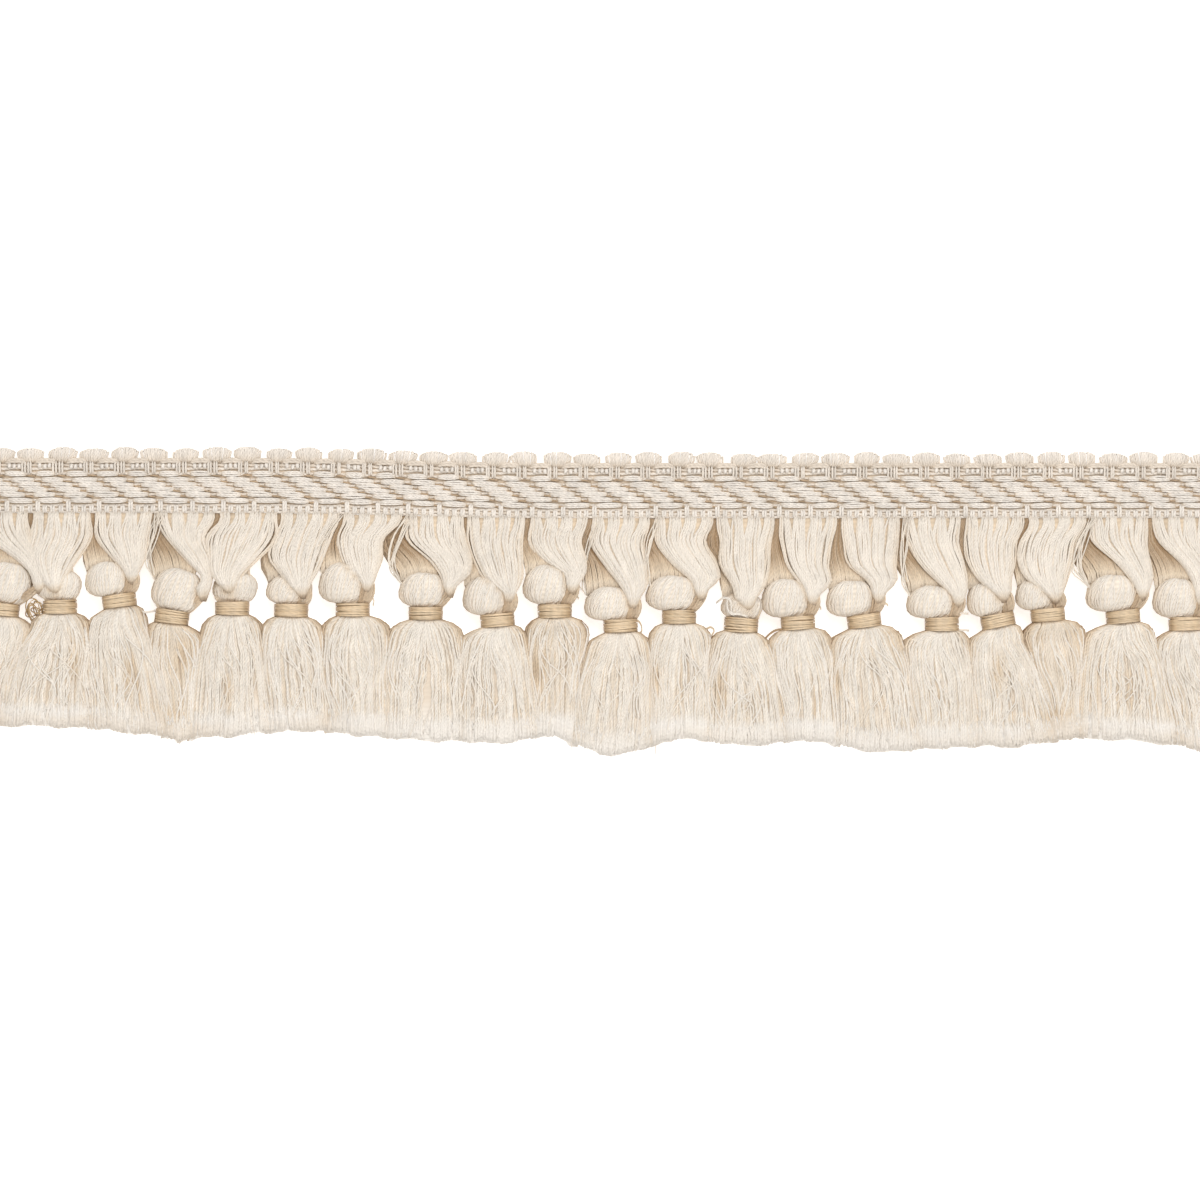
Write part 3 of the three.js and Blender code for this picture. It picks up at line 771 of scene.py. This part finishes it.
def leaf(yarn, t):
    """The front of a hank: four clumps leave the heading, merge, and dive into the knot."""
    rng = t.rng
    length = t.edge - t.tip_y
    share = shares(15)
    for count, drop, tint, inset in LEAF_LAYERS:
        u = spaced(rng, count, 0.01)
        u = inset + u * (1 - 2 * inset)
        down = share * (length + 1.0) - 0.2
        clump = (np.floor(u * 4) + 0.5) / 4
        tight = mix(0.68, 1.0, ease(down / between(rng, 4, 8, count)))
        across = clump + (u - clump) * tight
        sway = vary(rng, 0.035, count) * np.sin(math.pi * share)
        ripple = between(rng, 0, 6.3, count)
        across = across + sway + 0.008 * np.sin(share * 15 + ripple)
        left, right = t.leaf_edges(down)
        x = mix(left, right, across)
        width = right - left
        crowd = np.clip(1 - width / 13, 0, 1)
        edge_drop = (0.1 + 1.0 * ease(down / 9)) * np.abs(2 * across - 1) ** 4
        layer = between(rng, -0.2, 0.06, count) * (0.15 + crowd)
        z = t.leaf_level(down) - edge_drop - drop + layer
        y = t.edge - down
        # Painted shade on lower yarns, towards the tip where the leaf dives, and at the leaf's
        # edges
        dive = ease((down - (length - 1.5)) / 2.0)
        gaps = 0.1 + 0.3 * np.clip(-layer * 2.2, 0, 1) + tint
        shade = gaps + 0.75 * dive + 0.25 * np.abs(2 * across - 1) ** 6
        yarn.tubes(stack(x, y, z), YARN_RADIUS * 1.3, rng, shade, soft=0.35)
    # The body below the yarns, in painted shade that is deepest near the heading
    down = np.linspace(0.2, length - 0.2, 12)[:, None]
    turn = once_round(12)
    left, right = t.leaf_edges(down)
    top = t.leaf_level(down) - 0.12
    x = mix(left, right, 0.5 + 0.46 * np.cos(turn))
    depth = np.minimum(0.8, (top - 0.3) / 2)
    z = top - depth - (0.1 + 1.2 * ease(down / 9)) * np.cos(turn) ** 4 + depth * np.sin(turn)
    yarn.body(stack(x, t.edge - down, z), shade=mix(0.5, 0.34, ease(down / 6)))


def back_edges(t, down):
    """How far left and right the back of a hank shows: from the leaf before it to its own."""
    if t.before is None:
        left = t.middle + 0.2 - HANK_HALF
    else:
        lowest = t.before.edge - t.before.tip_y - 2.5
        left = t.before.leaf_edges(np.minimum(down, lowest))[1] - 1.2
    right = t.leaf_edges(np.minimum(down, t.edge - t.tip_y - 1.0))[0] + 2.2
    return left, np.maximum(right, left + 1.5)


def ball_rise(rise):
    """The height on a ball at an angle above its middle, its lower side flatter."""
    sine = np.sin(rise)
    return np.where(sine < 0, polar(sine, 3.2), sine)


def rim_shade(theta, down):
    """How much painted shade darkens a skirt's sides, most of all at its shoulders."""
    side = np.abs(np.cos(theta)) ** 5
    return side * (1 - 0.75 * ease((down - 2.0) / 9.0))


def back(yarn, t):
    """The back of a hank: in shadow, it fills the room up to the leaf before it, and arches
    over the top of its knot."""
    rng = t.rng
    count = BACK_YARNS
    cx, cy, _ = t.knot_centre()
    half_width, half_height = t.knot_width / 2, t.knot_height / 2
    u = spaced(rng, count, 0.012)
    side = mix(-0.86, 0.75, u)
    end_x = cx + half_width * side
    end_y = cy + half_height * (0.05 + 0.66 * np.sqrt(np.clip(1 - side**2, 0, 1)))
    share = shares(9)
    y = mix(t.edge, end_y, share)
    left, right = back_edges(t, t.edge - y)
    gather = ease((share - 0.35) / 0.6)
    x = mix(mix(left, right, u), end_x, gather)
    x = x + vary(rng, 0.25, count) * np.sin(math.pi * share)
    rise = vary(rng, 0.05, count)
    z = 0.9 + 3.9 * ease(share) ** 1.4 + rise * np.sin(math.pi * share) + 0.2
    # Painted shade, deepest under the leaves and lighter where the yarns arch over the knot
    shade = 1.0 - 0.24 * (1 - u) + vary(rng, 0.1, count)
    shade = mix(shade, 0.3, ease((share - 0.5) / 0.5) ** 1.3)
    yarn.tubes(stack(x, y, z), YARN_RADIUS * 1.35, rng, shade)
    # A flat body behind them, in painted shade
    share = np.linspace(0, 1, 9)[:, None]
    turn = once_round(8)
    y = mix(t.edge - 0.1, cy, share)
    left, right = back_edges(t, t.edge - y)
    gather = ease((share - 0.4) / 0.6)
    left = mix(left + 0.4, cx - half_width * 0.8, gather)
    right = mix(right, cx + half_width * 0.6, gather)
    x = (left + right) / 2 + (right - left) / 2 * np.cos(turn)
    z = 0.75 + 3.0 * ease(share) ** 1.4 + 0.5 * np.sin(turn)
    yarn.body(stack(x, y, z), shade=mix(0.9, 0.5, share))


def knot(yarn, t):
    """The knot: a ball whose yarns run from its top, round its front, into the binding."""
    rng = t.rng
    count = KNOT_YARNS
    angle = (np.arange(count) + 0.5)[:, None] * 2 * math.pi / count
    angle = angle + vary(rng, 0.05, count)
    tilt = math.radians(12) + vary(rng, 0.06, count)
    swing = vary(rng, 0.12, count)
    rise = np.linspace(math.radians(-84), math.radians(82), 10)[None, :]
    bend = angle + swing * np.sin(2 * rise)
    out = 1 + between(rng, -0.03, 0.008, count)
    x = polar(np.cos(rise), KNOT_POWER) * np.sin(bend) * out
    y = ball_rise(rise) * out
    z = polar(np.cos(rise), KNOT_POWER) * np.cos(bend) * out
    x, y = x * np.cos(tilt) + y * np.sin(tilt), -x * np.sin(tilt) + y * np.cos(tilt)
    half = np.array([t.knot_width / 2, t.knot_height / 2 + 0.3, t.knot_depth / 2]) - FINE_RADIUS
    place = np.array([t.knot_x + 0.35, BINDING_HEIGHT / 2 - 0.1 + t.knot_height / 2, KNOT_LEVEL])
    local = stack(x, y, z)
    paths = t.turned(local * half + place)
    # Painted shade: lower side, rim by the floor, left side, and creases by the leaf's tip and
    # edge
    low = np.clip(-y, 0, 1) ** 3
    rim = np.clip(1 - z / 0.5, 0, 1)
    tip = np.array([t.middle + t.tip, t.tip_y])
    near = np.exp(-np.sum((paths[..., :2] - tip) ** 2, axis=-1) / 3.2)
    edge_x, _ = t.leaf_edges(np.clip(t.edge - paths[..., 1], 0, t.edge - t.tip_y))
    beside = np.exp(-((paths[..., 0] - edge_x) / 0.8) ** 2) * (paths[..., 1] > t.tip_y)
    left = np.clip(-(x + 0.3) / 0.7, 0, 1) ** 1.3
    shade = 0.06 + 0.34 * rim * (z > -0.9) + 0.22 * low + 0.3 * left
    shade = shade + 0.45 * near + 0.4 * beside
    yarn.tubes(paths, FINE_RADIUS * 1.35, rng, shade, soft=0.4, up=unit(local / half))
    # The body below the yarns, in light painted shade
    turn = once_round(20)
    rise = np.linspace(math.radians(86), math.radians(-86), 11)[:, None]
    waist = polar(np.cos(rise), KNOT_POWER)
    ball = stack(waist * np.cos(turn), ball_rise(rise), waist * np.sin(turn))
    yarn.body(t.turned(ball * (half - 0.02) + place), shade=0.15)
    # Yarns that fill the room between the ball and the binding, in painted shade
    u = (np.arange(NECK_YARNS) + rng.uniform(0.2, 0.8, NECK_YARNS))[:, None] / NECK_YARNS
    share = shares(5)
    across = mix(-3.1, 2.2, u)
    x = across * (1 + 0.35 * ease(share))
    y = mix(0.9, 2.9, share)
    z = NECK_LEVEL + mix(1.6, 2.0, ease(share)) * np.sqrt(1 - (across / 3.6) ** 2)
    yarn.tubes(t.turned(stack(x, y, z)), YARN_RADIUS * 1.2, rng, 0.4)


def painted_gap_shade(paths):
    """How much painted shade the shaded gaps of the skirts add along some paths."""
    deepest = 0
    for x, y, half_x, half_y in SHADED_GAP_SPOTS:
        away = ((paths[..., 0] - x) / half_x) ** 2 + ((paths[..., 1] - y) / half_y) ** 2
        deepest = np.maximum(deepest, np.exp(-away))
    return 0.42 * deepest


def hem_shade(paths):
    """How much painted shade the lower edge of the fringe's end gets beside some paths."""
    return 0.05 + 0.36 * np.interp(paths[..., 0], *zip(*HEM_SHADE))


def skirt_section(t):
    """How far a skirt reaches left and right at each depth below the neck, and its levels."""
    depths = np.array([0, 1.75, 2.5, 3.5, 5.2, 9, 16, 33])

    def reach(room, end):
        neck, shoulder, end = NECK_HALF_WIDTH - 0.1, min(SHOULDER_REACH, room), end + SKIRT_OVERLAP
        upper = [neck, neck + 0.5, mix(neck, shoulder, 0.6), mix(neck, shoulder, 0.86), shoulder]
        return upper + [mix(shoulder, end, 0.2), mix(shoulder, end, 0.55), end]

    tops = np.array([6.2, 6.3, 6.5, 6.6, 6.6, 6.3, 5.4, 3.4])
    tops = tops - BEHIND_DROP * t.behind * np.array([0, 0, 0, 0.5, 1, 1, 1, 0.5])
    return depths, reach(t.room_left, t.left), reach(t.room_right, t.right), tops


def skirt(yarn, t):
    """The cut skirt: it leaves the binding, rounds a shoulder, and hangs to a soft wavy end."""
    rng = t.rng
    depths, lefts, rights, tops = skirt_section(t)
    bottom_depth = depths[-1]

    def shell(theta, down, inside=0.0):
        """The skirt's surface at an angle round it and a depth below the neck."""
        place = np.minimum(down * bottom_depth / (t.hang + 1.5), bottom_depth)
        left, right, top = (curve(depths, values, place) for values in (lefts, rights, tops))
        top = top - inside
        bottom = mix(1.6, 0.3, ease(down / 4.0)) + inside
        middle = (right - left) / 2
        half = (right + left) / 2 - inside
        waist = mix(bottom, top, 0.4)
        x = middle + half * polar(np.cos(theta), SKIRT_POWER)
        up = polar(np.sin(theta), SKIRT_POWER)
        z = waist + np.where(up > 0, top - waist, waist - bottom) * up
        slope = math.tan(t.slope) * (1 - ease((down - 1.5) / 3.5))
        return stack(t.x + x + slope * down, t.y - down + slope * x, z)

    groups = SKIRT_CLUMPS
    lean = vary(rng, 0.1, groups)
    wave = vary(rng, 0.08, groups)
    phase = between(rng, 0, 6.3, groups)

    def hem(theta):
        """How far down the skirt's end lies, at an angle round it."""
        across = polar(np.cos(theta), SKIRT_POWER)
        x = t.x + (rights[-1] - lefts[-1]) / 2 + (rights[-1] + lefts[-1]) / 2 * across
        wavy = 0.25 * np.sin(across * 6 + phase[0]) + 0.12 * np.sin(across * 13 + phase[1])
        return t.y - np.interp(x, *t.fringe_end) + wavy

    def fanned(theta, down):
        """Angles drawn in to the middle near the neck, so that the yarns fan out below it."""
        spread = mix(1.9, 1.0, ease(down / 12.0))
        cosine = np.cos(theta)
        drawn = np.arccos(np.sign(cosine) * np.abs(cosine) ** spread)
        return np.where(np.sin(theta) > 0, drawn, theta)

    for count, inside, tint, steps in SKIRT_LAYERS:
        share = shares(steps)
        u = spaced(rng, count, 0.01)
        theta = even_turns(u, math.radians(200), math.radians(-20), SKIRT_POWER, 8.0, 3.0)
        group = (u * groups + vary(rng, 0.7, count)).astype(int)[:, 0]
        group = np.clip(group, 0, groups - 1)
        own = vary(rng, 0.05, count)
        drift = (lean[group] + own) * ease(share * 1.2)
        drift = drift + wave[group] * np.sin(share * 5 + phase[group]) * share
        crimp = vary(rng, 0.8, count) + phase[group]
        drift = (drift + 0.014 * np.sin(share * 37 + crimp)) * np.sin(theta)
        end = hem(theta - drift[:, -1:]) - between(rng, 0.5, 1.1, count)
        down = mix(1.2, end, share**1.15)
        spot = fanned(theta - drift, down)
        fray = between(rng, -0.07, 0.12, count)
        soft = ease((down - (t.hang - 6.6)) / 3.0)
        paths = shell(spot, down, inside + fray * (1 - 0.6 * soft) * ease(share * 4))
        # Painted shade on deeper yarns, below the binding, at the sides, behind others, in gaps
        # and at the end
        deep = np.clip(fray * 1.8, 0, 0.3) + tint
        shade = deep * (1 - soft) * (0.6 + 0.4 * np.sin(share * 4 + phase[2]) ** 2)
        shade = shade + 0.25 * (1 - ease((down - 1.2) / 1.4)) + 0.8 * rim_shade(spot, down)
        shade = shade + t.behind * (1 - ease((down - t.hang + 9) / 6))
        shade = shade + np.maximum(hem_shade(paths) * ease((down - end + 3.2) / 1.4), painted_gap_shade(paths))
        radius = YARN_RADIUS * (1.2 + 0.75 * soft)
        yarn.tubes(paths, radius, rng, shade, soft, taper=0.5)
    # Bright yarns that lie loosely over the others, some of them across
    unruly = UNRULY.get(t.number + 1, 0)
    count = STRAY_YARNS + unruly
    share = shares(13)
    start = between(rng, 0.1, 0.9, count)
    across = np.where(np.arange(count)[:, None] < unruly, 0.3, 0.07)
    shift = rng.normal(0, 1, (count, 1)) * across
    place = start + shift * ease(share) + 0.045 * np.sin(share * 6 + start * 9)
    theta = math.pi * (1 - np.clip(place, 0.06, 0.94))
    first = between(rng, 1.6, 9, count)
    down = mix(first, t.hang * between(rng, 0.66, 0.97, count), share)
    theta = fanned(theta, down)
    above = -0.16 - across * between(rng, 0.2, 0.8, count) * np.sin(math.pi * share)
    # Painted shade where a stray yarn crosses a shaded gap
    shade = between(rng, 0, 0.25, count) + painted_gap_shade(shell(theta, down)) * 0.5
    radius = YARN_RADIUS * (0.9 + 0.5 * across)
    yarn.tubes(shell(theta, down, above), radius, rng, shade, 0.5, tone=1 - 3 * shade[:, :1])
    # Fine fibres along the end
    count = END_FIBRES
    place = (np.arange(count) + rng.uniform(0, 1, count))[:, None] / count
    theta = mix(math.pi * 1.04, -0.12, place)
    short = shares(3)
    down = hem(theta) - between(rng, 1.4, 4.2, count) * (1 - short)
    above_end = between(rng, 1.6, 3.4, count)
    down = down + 0.15 - np.where(np.arange(count)[:, None] % 5, above_end, 0.6)
    spot = theta + vary(rng, 0.08, count) * short
    fibres = shell(spot, down, mix(between(rng, -0.35, 0.0, count), 0.1, short))
    yarn.tubes(fibres, 0.17, rng, 0.1 * short, soft=1.0)
    # The body below the yarns, in painted shade that fades out towards the end
    turn = once_round(24)
    edge = hem(turn)
    down = np.array([1.0, 1.8, 2.6, 3.6, 5.2, 8, 12, 16, 20])[:, None] + 0 * turn
    down = np.concatenate([down, edge - 4.5, edge - 2.4, edge - 1.0, edge - 0.5])
    near_end = ease((down - t.hang + 9) / 5)
    inside = np.array([0.24] * 8 + [0.2, 0.12, 0.08, 0.2, 1.0])[:, None]
    yarn.body(shell(-turn, down, inside), shade=mix(0.5, 0.0, near_end), soft=0.9)


def tuck(yarn, t):
    """The yarns that leave the leaf's tip and pass to the binding beside the knot."""
    rng = t.rng
    count = TUCK_YARNS
    u = between(rng, 0, 1, count)
    share = shares(7)
    tip_x = t.middle + t.tip
    level = between(rng, 5.0, 6.4, count)
    start = stack(tip_x + mix(-1.3, 1.5, u), t.tip_y + mix(0.8, 2.2, u), level)
    level = mix(6.2, 4.4, u) - between(rng, 0, 0.5, count)
    end = t.turned(stack(mix(1.4, 3.7, u), 1.2, level))
    bulge = np.array([0.8, 0, 0.3]) * np.sin(math.pi * share)[..., None]
    paths = mix(start, end, share[..., None]) + bulge * mix(0.2, 1.0, u)[..., None]
    # Painted shade for the crease that the tuck lies in, deeper on its left side
    yarn.tubes(paths, YARN_RADIUS * 1.45, rng, 0.5 + 0.3 * (1 - u))


def binding(t):
    """The binding: satin yarn wound round the neck, its turns a little uneven."""
    rng = np.random.default_rng(SEED + 100 + t.number)
    wraps = Yarn()
    count = BINDING_TURNS
    turn = np.linspace(0, 2 * math.pi, 37)[None, :]
    level = (np.arange(count) - (count - 1) / 2)[:, None] * (BINDING_HEIGHT - 0.42) / (count - 1)
    level = level + vary(rng, 0.06, count)
    cross = vary(rng, 0.2, count) * np.sin(turn + between(rng, 0, 6.3, count))
    out = between(rng, -0.03, 0.07, count) + 0.06 * (1 - (level / 1.6) ** 2)
    half_x = NECK_HALF_WIDTH + BINDING_ROOM + out
    half_z = NECK_HALF_DEPTH + BINDING_ROOM + out
    local = stack(half_x * np.cos(turn), level + cross, half_z * np.sin(turn))
    up = unit(stack(np.cos(turn) / half_x, 0.0, np.sin(turn) / half_z))
    c, s = math.cos(t.slope), math.sin(t.slope)
    up = stack(up[..., 0] * c, up[..., 0] * s, up[..., 2])
    paths = t.turned(local) + np.array([0, 0, NECK_LEVEL])
    # A painted highlight across each wrap's front; painted shade at the sides and on wraps set
    # further in
    spot = math.pi / 2 + rng.uniform(-0.5, 0.5)
    painted_highlight = np.exp(-((turn - spot) / 0.34) ** 2)
    painted_shade_and_highlight = np.clip(0.2 - out * 2, 0, 1) + 0.5 * np.abs(np.cos(turn)) ** 3 - 0.3 * painted_highlight
    wraps.tubes(paths, 0.3, rng, painted_shade_and_highlight, up=up, taper=1.0)
    # The layer below, closed, in painted shade
    ring = once_round(24)
    heights = np.array([1.45, 0, -1.45])[:, None]
    x = (NECK_HALF_WIDTH + 0.45) * np.cos(ring)
    z = (NECK_HALF_DEPTH + 0.45) * np.sin(ring)
    wraps.body(t.turned(stack(x, heights, z)) + np.array([0, 0, NECK_LEVEL]), shade=0.6)
    return wraps.piece(f"binding_{t.label}_wraps", SATIN, "binding_satin", f"binding_{t.label}")


def through(points, stops, share):
    """A smooth path through points at the stops, read at the places in share."""
    return np.stack([curve(stops, values, share) for values in np.transpose(points)], axis=-1)


def loops(yarn, t, count, reach):
    """Loose yarns that bow out beside the leaf and come back to the knot's side."""
    rng = t.rng
    cx, cy, _ = t.knot_centre()
    top = cy + t.knot_height / 2
    share = shares(12)
    stops = np.array([0, 0.3, 0.62, 0.85, 1.0])
    bow_out = between(rng, 0.45, 1.0, count) * reach
    start = t.middle - between(rng, 4.6, 7.2, count)
    side = cx - t.knot_width * 0.42
    drop = vary(rng, 0.6, count)
    far = side - bow_out
    x = (start, mix(start, far, 0.62), far, side - bow_out * 0.35, side + 0.9)
    y = (t.edge, mix(t.edge, top, 0.4) + drop, top + 1.2 + drop, top - 1.6 + drop * 0.5, cy)
    x, y = (np.hstack(np.broadcast_arrays(*places)) for places in (x, y))
    z = np.array([1.6, 3.2, 4.6, 4.8, 4.6]) + between(rng, -0.5, 0.6, count)
    paths = np.stack([through(points, stops, share[0]) for points in stack(x, y, z)])
    bend = vary(rng, 0.9, count) * np.sin(2 * math.pi * share) * np.sin(math.pi * share)
    paths[..., 0] += bend
    yarn.tubes(paths, YARN_RADIUS * 0.85, rng, 0.12)


def fringe_end(tassels):
    """The places and levels of the points that the whole fringe's end runs through."""
    xs, levels = [], []
    for n, t in enumerate(tassels):
        if n > 0:
            b = tassels[n - 1]
            xs.append((b.x + b.right + t.x - t.left) / 2)
            levels.append((b.y - b.hang + t.y - t.hang) / 2 + HEM_RISE)
        xs.append(t.x + (t.right - t.left) / 2)
        levels.append(t.y - t.hang)
    order = np.argsort(xs)
    return np.array(xs)[order], np.array(levels)[order]


def all_tassels():
    """The tassels, each with the one before it, the room for its skirt, and the fringe's end."""
    tassels = [Tassel(number) for number in range(TASSEL_COUNT)]
    end = fringe_end(tassels)
    places = [t.x for t in tassels]
    places = [places[0] - OUTER_SPACING, *places, places[-1] + OUTER_SPACING]
    for t, before, after in zip(tassels, places, places[2:]):
        t.room_left = (t.x - before) / 2 + SKIRT_ROOM
        t.room_right = (after - t.x) / 2 + SKIRT_ROOM
        t.before = tassels[t.number - 1] if t.number > 0 else None
        t.fringe_end = end
    return tassels


def tangle(rng):
    """A tangle of dark loops between the first two tassels."""
    yarn = Yarn()
    low, high = np.array(TANGLE_BOX)
    middle, half = (low + high) / 2, (high - low) / 2
    turn = np.linspace(0, 2 * math.pi, 15)[None, :]
    for count, size in ((3, 0.6), (4, 0.95)):
        start = between(rng, 0, 6.3, count)
        lean = between(rng, 0, 3.1, count)
        wide = between(rng, 0.45, 1.0, count) * size
        x, y = np.cos(turn + start), wide * np.sin(turn + start)
        x, y = x * np.cos(lean) - y * np.sin(lean), x * np.sin(lean) + y * np.cos(lean)
        shift = vary(rng, 0.25, count, 2, 1)
        x = middle[0] + half[0] * (x * size + shift[:, 0])
        y = middle[1] + half[1] * (y * size + shift[:, 1])
        z = 4.2 + 1.3 * np.sin(turn + lean) + vary(rng, 0.5, count)
        yarn.tubes(stack(x, y, z), 0.18, rng, 0.4)
    return yarn.piece("tangle_yarn", TANGLE, "fringe_cotton")


def loose_ends(tassels, rng):
    """Short ends and loops of yarn that stand out beside a few bindings, two together."""
    yarn = Yarn()
    for number, shade, points in LOOSE_ENDS:
        t = tassels[number - 1]
        stops = np.linspace(0, 1, len(points))
        for shift in (-0.13, 0.15):
            placed = [(t.x + x, t.y + y + shift, z) for x, y, z in points]
            path = through(placed, stops, np.linspace(0, 1, 12))
            yarn.tubes(path[None], 0.2, rng, shade)
    return yarn.piece("loose_ends", COTTON, "fringe_cotton")


def tassel(t):
    """One tassel's yarn, without its binding."""
    yarn = Yarn()
    back(yarn, t)
    knot(yarn, t)
    leaf(yarn, t)
    tuck(yarn, t)
    skirt(yarn, t)
    if t.number + 1 in LOOPS:
        loops(yarn, t, *LOOPS[t.number + 1])
    return yarn.piece(f"tassel_{t.label}_yarn", COTTON, "fringe_cotton", f"tassel_{t.label}")


# The studio


def camera():
    """Straight above the trim through a long lens."""
    data = bpy.data.cameras.new("camera")
    data.sensor_width = data.sensor_height = SENSOR
    data.sensor_fit = "HORIZONTAL"
    data.lens = LENS
    data.clip_end = 20.0
    made = new_object("camera", data)
    height = SUBJECT_LEVEL + FIELD_WIDTH * LENS / SENSOR
    made.location = (VIEW_X * MM, VIEW_Y * MM, height * MM)
    bpy.context.scene.camera = made


def area_light(name, place, power):
    """A round light that faces the trim."""
    data = bpy.data.lights.new(name, "AREA")
    data.shape = "DISK"
    data.size = LIGHT_SIZE
    data.energy = power
    made = new_object(name, data)
    made.location = place
    direction = np.array(LIGHT_AIM) - np.array(place)
    yaw = math.atan2(direction[1], direction[0])
    pitch = math.atan2(-direction[2], math.hypot(direction[0], direction[1]))
    made.rotation_euler = (math.pi / 2 - pitch, 0.0, yaw - math.pi / 2)


def studio():
    """The floor, the soft light all round, and the lights."""
    mesh = bpy.data.meshes.new("floor")
    half = FLOOR_HALF
    corners = [(-half, -half, 0), (half, -half, 0), (half, half, 0), (-half, half, 0)]
    mesh.from_pydata(corners, [], [(0, 1, 2, 3)])
    mesh.materials.append(floor_material())
    floor = new_object("floor", mesh)
    world = bpy.data.worlds.new("studio")
    world.use_nodes = True
    preset(world.node_tree.nodes["Background"], Color=SKY_COLOUR, Strength=SKY_STRENGTH)
    bpy.context.scene.world = world
    for light in LIGHTS:
        area_light(*light)
    bpy.context.scene.view_settings.view_transform = "Standard"


camera()
studio()
rng = np.random.default_rng(SEED)
cloth = heading_cloth()
trims = [heading_floats(rng), heading_picots(rng), heading_bars(rng)]
tassels = all_tassels()
for here in tassels:
    tassel(here)
    binding(here)
tangle(rng)
loose_ends(tassels, rng)
